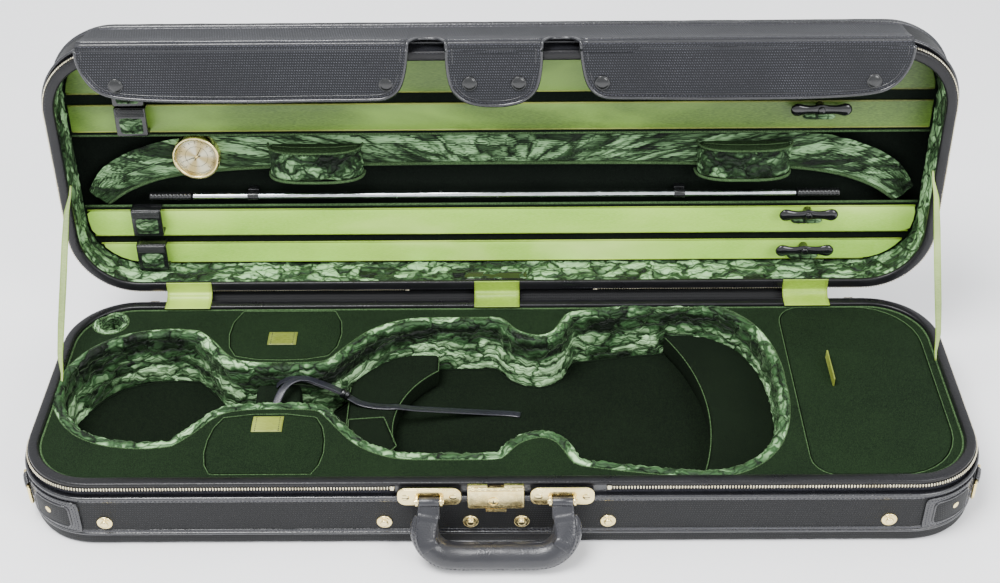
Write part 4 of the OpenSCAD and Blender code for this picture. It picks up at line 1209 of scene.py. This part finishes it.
for k, x in enumerate((MID - 288, MID, MID + 288)):
    rows = [(109.6, 65.5), (116, 65.6), (121, 65.7), (124.6, 67.0), (126.6, 69.2), lid_yz(5.4, 0.0), lid_yz(10, 0.05),
            lid_yz(16, 0.2)]
    b, r, nr = band("hinge_ribbon_%d" % (k + 1), rows, x - 21, x + 21, 0.5, [RIBBON, TAB], 14)
    for e in (-18.6, 18.6, -20.6, 20.6):
        p3 = np.array([(x + e, p[0] + q[0]*0.32, p[1] + q[1]*0.32) for p, q in zip(r, nr)])
        b.add(beads(p3, 1.5, 0.8, 0.2, [(0, q[0], q[1]) for q in nr]), 1)
    ob = b.done(slot="hinge_ribbon")
    if k == 0:
        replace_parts(ob, "hinge_ribbons")
    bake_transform(ob)

back = 126.5 + 1.2
b, r, nr = band("spine_cloth", [(back, 46), (back + 0.4, 55), (back + 3, 60), (back + 6, 63), (back + 10, 64.1),
                                (back + 21, 64)], MID - 310, MID + 310, 1.0, [LEATHERETTE, THREAD], 120)
for i in (2, len(r) - 3):
    y, z = r[i] - nr[i]*0.55
    p3 = np.array([(x, y, z) for x in np.linspace(MID - 308, MID + 308, 90)])
    b.add(beads(p3, 2.4, 1.2, 0.3, (0, -nr[i][0], -nr[i][1])), 1)
spine = b.done(replaces=("spine_cover",), slot="leatherette")
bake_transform(spine)


def stay(name, s, y, v):
    """Woven ribbon from the deck's edge to the lid's edge, pinched and turned at both ends."""
    ty, tz = lid_yz(v, 4.5)
    st = np.array([(0, 386.4, 0.8), (0.05, 386.5, 1.0), (0.14, 389, 2.3), (0.3, 389.3, 2.9), (0.5, 389.2, 3.0),
                   (0.7, 389.3, 2.9), (0.86, 389, 2.3), (0.95, 386.5, 1.0), (1, 386.4, 0.8)])
    t = np.linspace(0, 1, 61)
    x = np.interp(t, st[:, 0], st[:, 1])*s
    w = np.interp(t, st[:, 0], st[:, 2])
    p = np.column_stack([x, y + (ty - y)*t, 61.8 + (tz - 61.8)*t])
    b = Piece(name, None, [STAY, RIBBON])
    b.add(tube(p, w, 10, flat=np.clip(0.5/w, 0, 0.6), power=0.6))
    for e in (-1, 1):
        b.add(tube(p + np.array([e, 0, 0])*(w - 0.25)[:, None], 0.42, 6), 1)
    ob = b.done(slot="stay_ribbon")
    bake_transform(ob)
    return ob


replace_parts(stay("lid_stay_left", -1, 8, 119), "lid_stays")
stay("lid_stay_right", 1, 33, 129)

# ---------- lid interior, in the lid's frame: along, from the hinge, up from the rim ----------
border = Piece("lid_border_ruched", "lid", [CRUSHED, SMOOTH], LID)


def lid_gather(s, t, p):
    k = ruched(20, 11, 2.6, 9.0)(s, t, p)
    return max(min(k, 2.6), -1.4)*min(1.0, t/3.0, (36 - t)/4.0 if t < 36 else 0.2)


rows = [(-11.0, 39.6 - 1.9*k) for k in range(0, 19)] + [(-10.4, 4.2)]
border.add(sweep(case_outline(0, 2.2) + [0, HINGE_Y], rows, disp=lid_gather))
border.done(replaces=("lid_border",), slot="crushed_velvet")

arch_low = smooth_curve([(-366, 78), (-342, 94), (-305, 107), (-250, 114), (-150, 118), (0, 119)], 10)
arch_high = smooth_curve([(-382, 92), (-364, 117), (-325, 138), (-270, 148), (-150, 152), (0, 152)], 10)


def whole(curve):
    return np.vstack([curve, (curve*[-1, 1])[::-1][1:]])


low, high = resample(whole(arch_low), 3.0), whole(arch_high)
high = np.stack([np.interp(np.linspace(0, 1, len(low)), np.linspace(0, 1, len(high)), high[:, k]) for k in (0, 1)],
                axis=1)
arch = Piece("arch_ruched", "lid", [CRUSHED_DARK, VELOUR_EDGE], LID)
na = len(low) - 1


def arch_point(u, w):
    i = int(round(u*na))
    rim = 0.0 if w > 0.08 else 1.6
    p = low[i]*(1 - w) + high[i]*w
    if w > 0.98:
        p = p + [0, 1.0]
    k = ruched(26, 14, 2.2, 5.0)(0, w*30, (p[0], p[1], w*30))*min(1, 5*w + 0.2)
    return (p[0], p[1], 41.2 - 1.2*math.sin(math.pi*w) - k*0.8 + rim)


arch.add(turned_over(grid(na, 22, arch_point)))
arch.add(grid(na, 4, lambda u, w: (*(low[int(round(u*na))] + (0, 0.6)), 43.0 + 7.5*w)))
arch.add(tube(at_height(low, 41.6), 1.5, 10), 1)
arch.done(replaces=("arch_band",), slot="crushed_velvet")

boards = Piece("bow_boards_covered", "lid", [BLACK_VELOUR, VELOUR_EDGE], LID)
for loop in loops_of("bow_boards", 36, LID):
    boards.add(plate([loop], 36, 40, 1.2, 2))
    lo_v, hi_v = loop[:, 1].min(), loop[:, 1].max()
    edge_v = hi_v if lo_v < 50 else lo_v
    xs = loop[np.abs(loop[:, 1] - edge_v) < 0.6][:, 0]
    edge_v += 0.4 if lo_v < 50 else -0.4
    boards.add(tube([(x, edge_v, 36.6) for x in np.linspace(xs.min() + 2, xs.max() - 2, 60)], 1.2, 8), 1)
boards.done(replaces=("bow_boards",), slot="black_velour")

strips = Piece("satin_bow_strips", "lid", [SATIN, RIBBON, SATIN_PAINTED_SHADOW, TAB], LID)
for loop in loops_of("satin_strips", 34.4, LID):
    lo_v, hi_v = loop[:, 1].min(), loop[:, 1].max()
    # the upper strips take the darker satin, and their piping the darker tab ribbon: painted shadow of the flap
    shaded = 2 if lo_v + hi_v > 280 else 0
    strips.add(plate([resample(loop, 9.0, True)], 34.5, 36.05, 0.75, 3), shaded)
    for e in (lo_v, hi_v):
        xs = loop[np.abs(loop[:, 1] - e) < 0.6][:, 0]
        if len(xs) > 1 and xs.max() - xs.min() > 100:
            q = 1 if e == lo_v else -1
            strips.add(tube([(x, e + q*0.5, 35.0 + 0.15*wobble(x/40, e, 0))
                             for x in np.linspace(xs.min() + 1, xs.max() - 1, 120)], 0.85, 8), shaded + 1)
strips.done(replaces=("satin_strips",), slot="satin")

# bow tip holders: plastic frames with ruched velvet pillows
clips = Piece("bow_tip_holders", "lid", [BLACK_PLASTIC, CRUSHED], LID)
for i, v0 in enumerate((173, 203, 68, 30)):
    x = -328
    clips.add(plate([rounded(x - 14, x + 14, v0 - 14, v0 + 14, 2.4, 5)], 22.4, 25.2, 0.7, 3))
    for x1, v1, v2 in ((x + 14, v0 + 11, v0 + 14), (x + 14, v0 - 14, v0 - 11), (x - 11, v0 - 14, v0 + 14)):
        clips.add(plate([rounded(x - 14, x1, v1, v2, 1, 3)], 22.6, 34.3, 0.8, 2))
    for k in range(5):
        clips.add(tube([(x + e, v0 + 6.4 + 1.5*k, 22.2 - 0.15*k) for e in (-12.5, 12.5)], 0.95, 8))

    def pillow(u, w, x=x, v0=v0, i=i):
        a, b = 2*u - 1, 2*w - 1
        dome = (1 - a**6)*(1 - b**6)
        k = 1 - abs(wobble(a*2.2 + i, b*7.5, i))*2.4
        return (x + 11.2*a, v0 - 3.5 + 8.6*b, 23.6 - dome*(2.2 + 0.9*k))
    clips.add(turned_over(grid(26, 30, pillow)), 1)
clips.done(replaces=("bow_tip_clips",), slot="black_plastic", sharp=60)

# turn buttons: glossy dumbbells with a dished middle
TV = (180, 214, 71, 32)
for i, v0 in enumerate(TV):
    b = Piece("turn_button_%d" % (i + 1), "turner_%d" % (i + 1), [GLOSS_BLACK, GOLD], LID)

    def body(u, w, v0=v0):
        x = -27.4 + 54.8*u
        a = abs(x)
        half = 4.2 + 1.9*math.exp(-((a - 21)/5.2)**2) + 0.9*math.exp(-(a/5)**2)
        half *= math.sqrt(max(0.0, 1 - max(0, (a - 22.5)/4.9)**2))
        thick = (2.3 + 0.7*math.exp(-((a - 21)/6)**2) - 0.7*math.exp(-(a/6)**2))*math.sqrt(
            max(0.0, 1 - max(0, (a - 23.5)/3.9)**2))
        t = 2*math.pi*w
        return (285 + x, v0 + half*math.cos(t), 25.0 - thick*math.sin(t)*(1 if math.sin(t) > 0 else 0.75))
    b.add(weld(*turned_over(grid(60, 24, body), True), 1e-4))
    b.add(lathe([(4, 25), (4, 34.1), (0, 34.1)], 24, (285, v0, 0)))
    b.add(turned_over(lathe([(0, 21.9), (2.2, 22.0), (3.2, 22.4), (3.4, 23.4)], 28, (285, v0, 0))))
    b.done(replaces=("turner_%d" % (i + 1),), slot="black_plastic")

pads = Piece("frog_pads", "lid", [CRUSHED], LID)
for i, v0 in enumerate(TV):
    def pad(u, w, v0=v0, i=i):
        a, t = 2*u - 1, 2*math.pi*w
        r = 1 - a**8
        k = 0.5*wobble(a*6 + i, math.cos(t)*1.6, math.sin(t)*1.6)
        return (285 + 14.8*a, v0 - 10 + (3.0 + k)*r*math.cos(t), 31.7 - (2.4 + k)*r*math.sin(t))
    pads.add(weld(*turned_over(grid(26, 16, pad), True), 1e-4))
pads.done(replaces=("turner_pads",), slot="crushed_velvet")

# hygrometer
H = (-276.5, 131)
gauge = Piece("hygrometer_bezel", "lid", [GOLD, DIAL], LID)


def turned(rows, n=64):
    return turned_over(lathe(rows, n, (*H, 0)))


gauge.add(turned([(18.6, 34.6), (18.2, 32.6), (19.0, 31.2), (20.4, 31.0), (21.4, 31.8), (21.75, 33.4),
                  (21.75, 41.8)]))
gauge.add(turned([(18.2, 33.8), (18.5, 32.4), (18.9, 31.4)]), 0)
for k in range(72):
    a = 2*math.pi*k/72
    gauge.add(tube([(H[0] + 21.7*math.cos(a), H[1] + 21.7*math.sin(a), h) for h in (33.6, 40.6)], 0.42, 5))
gauge.done(replaces=("hygrometer_case",), slot="gold", sharp=60)
face = Piece("hygrometer_face", "lid", [DIAL, BLACK_PLASTIC, GOLD], LID)
v, f, uv = turned([(0, 35.05), (6, 35.05), (12, 35.05), (19.2, 35.05)], 90)
face.add((v, f, [[((v[i][0] - H[0])*MM, (v[i][1] - H[1])*MM) for i in q] for q in f]))
for k in range(61):
    a = math.radians(-45 + 270*k/60)
    long = 3.2 if k % 5 == 0 else 1.7
    p = np.array([[H[0] + r*math.cos(a), H[1] + r*math.sin(a), 34.95] for r in (16.6 - long, 16.6)])
    face.add(tube(p, 0.26 if k % 5 == 0 else 0.16, 5), 1)
for r0 in (17.1, 10.2):
    face.add(tube(circle(H, r0, 72, 34.95), 0.16, 5, True), 1)
for ang, reach, w in ((200, 13.5, 0.55), (62, 11.0, 0.5)):
    a = math.radians(ang)
    dx = np.array([math.cos(a), math.sin(a), 0])
    c0 = np.array([H[0], H[1], 34.2])
    face.add(tube([c0 - dx*4, c0, c0 + dx*reach], [w, w*0.9, 0.12], 6), 1)
face.add(turned([(0, 33.4), (1.3, 33.6), (1.6, 34.2), (1.6, 35)], 24), 2)
face.done(replaces=("hygrometer_dial",), slot="dial")
lens = Piece("hygrometer_lens", "lid", [GLASS], LID)
lens.add(turned([(0, 31.75), (6, 31.85), (12, 32.1), (18.4, 32.7), (18.4, 32.9), (12, 32.4), (6, 32.2), (0, 32.1)]))
lens.done(replaces=("hygrometer_glass",), slot="glass")

# string tube
ALONG = np.column_stack([LID[:, 1], LID[:, 2], LID[:, 0], LID[:, 3] + LID[:, 1]*86 + LID[:, 2]*41])
holder = Piece("string_tube_body", "lid", [CHROME], ALONG)
holder.add(lathe([(2.2, -286), (3.15, -286), (3.2, -285), (3.2, 273), (3.15, 274), (2.2, 274)], 32))
holder.done(replaces=("string_tube",), slot="tube")
ends = Piece("string_tube_ends", "lid", [BLACK_PLASTIC], ALONG)
for s, x0 in ((-1, -327), (1, 315)):
    rows = [(0, 0), (3.0, 0.2), (3.8, 1.0)]
    for k in range(11):
        rows += [(4.0, 2 + 3.4*k), (4.0, 4.2 + 3.4*k), (3.6, 4.6 + 3.4*k), (3.6, 5.0 + 3.4*k)]
    rows += [(4.0, 39.6), (3.3, 39.9)]
    cap = lathe([(r, x0 - s*h) for r, h in rows], 28)
    ends.add(cap if s < 0 else turned_over(cap))
for x in (-230, 166):
    hook = [(86 + r*math.cos(a), 41 - r*math.sin(a)) for r, a0, a1 in ((4.5, -0.5, math.pi + 0.5),
            (3.3, math.pi + 0.5, -0.5)) for a in np.linspace(a0, a1, 18)]
    side = np.column_stack([LID[:, 1], LID[:, 2], LID[:, 0], LID[:, 3]])
    ends.add(plate([hook], x - 5, x + 5, 0.25, 2), at=side)
    ends.add(plate([rounded(x - 5, x + 5, 81, 91, 1, 3)], 44.4, 51.4, 0.5, 2), at=LID)
ends.done(replaces=("tube_caps",), slot="black_plastic", sharp=50)

# along, up from the rim, from the hinge
UPRIGHT = np.column_stack([LID[:, 0], LID[:, 2], LID[:, 1], LID[:, 3]])
label = Piece("blank_label", "lid", [GLOSS_BLACK], UPRIGHT)
label.add(plate([rounded(-34, 24, 5, 18, 1.6, 4)], 14.0, 14.8, 0.2, 2))
label.add(tube(at_height(resample(rounded(-32.4, 22.4, 6.6, 16.4, 1.0, 4), 2.0, True), 14.85), 0.22, 6, True))
label.done(replaces=("label_plate",), slot="label")

# ---------- cushions: remeshed, puffed by a cloth simulation, then ruched and piped ----------
def puff(ob, pressure, cap, pinned):
    """Swells a pad by cloth pressure, and keeps each point within cap metres of its start."""
    start = [v.co.copy() for v in ob.data.vertices]
    group = ob.vertex_groups.new(name="pinned")
    group.add([v.index for v in ob.data.vertices if pinned(v.co)], 1.0, "REPLACE")
    mod = ob.modifiers.new("cloth", "CLOTH")
    c = mod.settings
    c.use_pressure, c.uniform_pressure_force = True, pressure
    c.effector_weights.gravity = 0
    c.vertex_group_mass = "pinned"
    c.quality, c.mass = 5, 0.3
    scene = bpy.context.scene
    for k in range(1, 15):
        scene.frame_set(k)
    apply_all(ob)
    scene.frame_set(1)
    for v, p in zip(ob.data.vertices, start):
        d = v.co - p
        if d.length > cap:
            v.co = p + d*(cap/d.length)


ups = LID[:, 1]
for name, x0 in (("cushion_left", -168), ("cushion_right", 222)):
    rows = [(x0 + 42.6*math.copysign(abs(math.cos(a))**0.7, math.cos(a)), 42 - 21.4*math.sin(a)**0.7)
            for a in np.linspace(0, math.pi, 25)]
    b = Piece(name, None, [CUSHION_CRUSH], UPRIGHT)
    b.add(plate([rows], 111.2, 141.8, 2.5, 3))
    ob = b.done()
    remesh(ob, 2.6, 3)
    base_h = 40.2
    puff(ob, 3.0, 2.0*MM, lambda co: (co.y/MM - HINGE_Y + C*(co.z/MM - RIM_Z))/S > base_h - 3)
    sub = ob.modifiers.new("sub", "SUBSURF")
    sub.levels = 1
    apply_all(ob)
    me = ob.data
    ripple = ruched(15, 10, 1.5, 11.0)
    inverse = np.linalg.inv(np.vstack([LID, [0, 0, 0, 1]]))
    for v in me.vertices:
        q = inverse[:3, :3] @ (np.array(v.co)/MM) + inverse[:3, 3]
        face = float(np.dot(np.array(v.normal), ups))
        if face < 0.6 and q[2] < 39.5:
            v.co = v.co + v.normal*(ripple(0, q[1]*1.0, (q[0], q[1], q[1]))*MM*min(1.0, (0.6 - face)/0.3))
        else:
            v.co = v.co + v.normal*0.3*MM*wobble(*(q*0.06))
    me.materials.clear()
    for mt in (CUSHION_CRUSH, CUSHION_TOP):
        me.materials.append(mt)
    for p in me.polygons:
        p.use_smooth = True
        p.material_index = 1 if float(np.dot(np.array(p.normal), ups)) > 0.62 else 0
    on_body(ob, "lid", ("cushions",) if x0 < 0 else ())
    pipe = Piece(name + "_piping", "lid", [VELOUR_EDGE], UPRIGHT)
    for vv, grow_by, rad in ((141.6, 1.2, 1.0), (111.6, 1.2, 1.3)):
        pts = [(x0 + (x - x0)*(1 + 0.012*grow_by), 42 - (42 - h)*(1 + 0.05*grow_by), vv) for x, h in rows]
        pipe.add(tube(smooth_curve(pts, 3), rad, 8), 0)
    pipe.add(tube([(x0 - 38, 33, 142.9), (x0 - 20, 29.5, 143.1), (x0, 28.6, 143.2), (x0 + 20, 29.5, 143.1),
                   (x0 + 38, 33, 142.9)], 0.5, 6), 0)
    pipe.done(slot="velour")

# ---------- flap: an apron sewn to the lid's front wall, bending into three lobes ----------
apron_rows = [lid_yz(253.4, 42), lid_yz(254.2, 34), lid_yz(255.4, 24), lid_yz(256.9, 15), lid_yz(259.0, 7),
              lid_yz(260.6, 0), lid_yz(261.1, -4)] + [tuple(put(FLAP, (0, 0, z))[0][1:]) for z in (-1.5, -5, -9)]
HALF = 353
GAPS = (40.2, 73.6)          # between the lobes, where the handle's mounts come through
GAP_X, GAP_HALF = 56.9, 16.7
steps = GAP_HALF*np.cos(np.linspace(0, math.pi, 26))[1:-1]
apron_x = np.concatenate([np.linspace(-HALF, -GAPS[1], 70), -GAP_X - steps, np.linspace(-GAPS[0], GAPS[0], 26),
                          GAP_X - steps, np.linspace(GAPS[1], HALF, 70)])
curve = smooth_curve(apron_rows, 4)
ways = unit(np.gradient(curve, axis=0))
ways = np.stack([-ways[:, 1], ways[:, 0]], axis=1)
LAST = len(curve) - 1.0
SPLIT = 15.0               # row of the gaps' arched tops


def apron_low(x):
    """The last row of the apron at x: all the way down, or the arch over a gap."""
    a = (abs(x) - GAP_X)/GAP_HALF
    if abs(a) >= 1:
        return LAST
    return SPLIT + (LAST - SPLIT)*(1 - (1 - abs(a)**3)**(1/3))


def apron_at(x, row, off=0.0):
    i = min(int(row), len(curve) - 2)
    p = curve[i] + (curve[i + 1] - curve[i])*(row - i)
    q = unit(ways[i] + (ways[i + 1] - ways[i])*(row - i))
    off += 0.3*math.sin(math.pi*row/LAST)*wobble(x/25, row/6, 0)
    return (x + MID, p[0] + q[0]*off, p[1] + q[1]*off)


b = Piece("flap_apron", None, [FLAP_SKIN, THREAD, SMOOTH])
COLUMNS = len(apron_x) - 1


def apron_point(u, w, side):
    x = apron_x[int(round(u*COLUMNS))]
    return apron_at(x, w*apron_low(x), side*0.9)


b.add(sheet(COLUMNS, 36, apron_point))
rest_x = np.linspace(3 - HALF, HALF - 3, 240)
for row in (1, 18, 23, 28):
    for side in (-1, 1):
        run = [x for x in rest_x if apron_low(x) > row + 1 or row < SPLIT]
        for part in np.split(np.array(run), np.nonzero(np.diff(run) > 6)[0] + 1):
            if len(part) > 3:
                b.add(beads([apron_at(x, row, side*0.95) for x in part], 2.4, 1.1, 0.32,
                            [(0, side*ways[row][0], side*ways[row][1])]*len(part)), 1)
for row in (20, 26):
    for x0, x1 in ((-HALF, -GAPS[1] - 1), (1 - GAPS[0], GAPS[0] - 1), (GAPS[1] + 1, HALF)):
        b.add(tube([apron_at(x, row, -0.5) for x in np.linspace(x0, x1, 60)], 1.25, 8), 2)
for s in (-1, 1):
    b.add(tube([apron_at(x*s, apron_low(x)) for x in GAP_X - GAP_HALF*np.cos(np.linspace(0.02, math.pi - 0.02, 44))],
               1.5, 8, up=(0, 1, 0)), 2)
apron = b.done(replaces=("flap_root",), slot="leatherette")
tuple(np.array([0, *lid_yz(260.8, -1)])*MM)
tuple(np.array([0, *put(FLAP, (0, 0, -4.5))[0][1:]])*MM)
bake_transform(apron)

FACE = np.column_stack([FLAP[:, 0], FLAP[:, 2], -FLAP[:, 1], FLAP[:, 3]])
side_rim = [(73.8, -5), (74.6, -12), (76, -22), (78.6, -33), (83, -42), (91, -48), (104, -50.2), (160, -51),
            (230, -51.4), (290, -50), (325, -46.5), (341, -39), (350, -26), (353.4, -14), (353.6, -5)]
half_rim = [(40.0, -5), (39.9, -14), (39.3, -24), (37.8, -34), (34.4, -43.5), (26, -51.5), (14, -55.6)]
mid_rim = [(-x, z) for x, z in half_rim] + [(0, -56.8)] + half_rim[::-1]
lobes = Piece("flap_lobes", "flap", [FLAP_SKIN, SMOOTH, THREAD], FACE)


def lobe(rim_points):
    """One lobe below its fold line, bowed a little, with a welted and stitched edge."""
    top = -4.0
    rim = resample(smooth_curve(rim_points, 6), 3.0)
    n = len(rim) - 1
    if rim[-1][0] < rim[0][0]:
        rim = rim[::-1]

    def bow(x, z, w):
        return 1.1*wobble(x/70, z/40, 0.5) + 0.9*math.sin(math.pi*min(1, w))*0.6

    def point(u, w, side):
        q = rim[int(round(u*n))]
        z = top*(1 - w) + q[1]*w
        return (q[0], z, side + bow(q[0], z, w))
    v, faces, _ = turned_over(sheet(n, 14, point))
    lobes.add((v, faces, [[(v[i][0]*MM, v[i][1]*MM) for i in q] for q in faces]))
    nr2 = -outward(rim, False)
    if nr2[len(rim)//2][1] < 0:
        nr2 = -nr2
    rim3 = np.array([(q[0], q[1], bow(q[0], q[1], 1.0)) for q in rim])
    lobes.add(tube(rim3, 1.75, 10, flat=0.95), 1)
    for inset, lift in ((2.6, 1.05), (4.6, 1.02)):
        q2 = rim + nr2*inset
        ok = q2[:, 1] < top
        p3 = np.array([(q[0], q[1], bow(q[0], q[1], 0.95) + lift) for q in q2[ok]])
        if inset < 3:
            lobes.add(beads(p3, 2.2, 1.1, 0.32, (0, 0, 1)), 2)
            p3[:, 2] -= 2*lift
            lobes.add(beads(p3, 2.2, 1.1, 0.32, (0, 0, -1)), 2)
        else:
            lobes.add(tube(p3, 0.45, 6), 1)


lobe(side_rim)
lobe([(-x, z) for x, z in side_rim][::-1])
lobe(mid_rim)
lobes.done(replaces=("flap",), slot="leatherette")

snaps = Piece("flap_snap_caps", "flap", [BLACK_PLASTIC, GOLD], FACE)
for s in (-1, 1):
    for x in STUDS:
        snaps.add(lathe([(0, 3.0), (2.4, 2.9), (4.0, 2.6), (5.0, 2.15), (5.3, 1.95), (5.7, 2.15), (6.3, 2.0),
                         (6.6, 1.6), (6.6, 1.0)], 40, (x*s, -36, 0)))
        snaps.add(turned_over(lathe([(0, -1.4), (2.9, -1.4), (3.1, -2.8), (4.4, -3.0), (5.0, -2.5), (5.0, -1.0)], 32,
                                    (x*s, -36, 0))), 1)
snaps.done(replaces=("flap_snaps",), slot="black_plastic", sharp=60)

# ---------- floor and light ----------
bpy.ops.mesh.primitive_plane_add(size=20, location=(0, 0, -0.0008))
floor = bpy.context.object
floor.name = "floor"
pale = Look("floor_paint", (250, 250, 251), 0.7)
pale.color(pale.ramp(pale.noise(3, 3), (0.3, (247, 247, 249)), (0.7, (253, 253, 254))))
floor.data.materials.append(pale.mat)
world = bpy.data.worlds.new("studio")
bpy.context.scene.world = world
world.use_nodes = True
world.node_tree.nodes["Background"].inputs[0].default_value = (0.96, 0.98, 1.0, 1)
world.node_tree.nodes["Background"].inputs[1].default_value = 1.4


def lamp(name, place, aim, size, power):
    data = bpy.data.lights.new(name, "AREA")
    data.shape, data.size, data.energy = "DISK", size, power
    ob = bpy.data.objects.new(name, data)
    ob.location = place
    ob.rotation_euler = (Vector(aim) - Vector(place)).to_track_quat("-Z", "Y").to_euler()
    bpy.context.scene.collection.objects.link(ob)


lamp("key", (-0.7, -0.55, 2.3), (0, 0, 0.05), 1.2, 90)
lamp("fill", (1.4, -1.4, 1.5), (0, 0, 0.15), 1.2, 32)
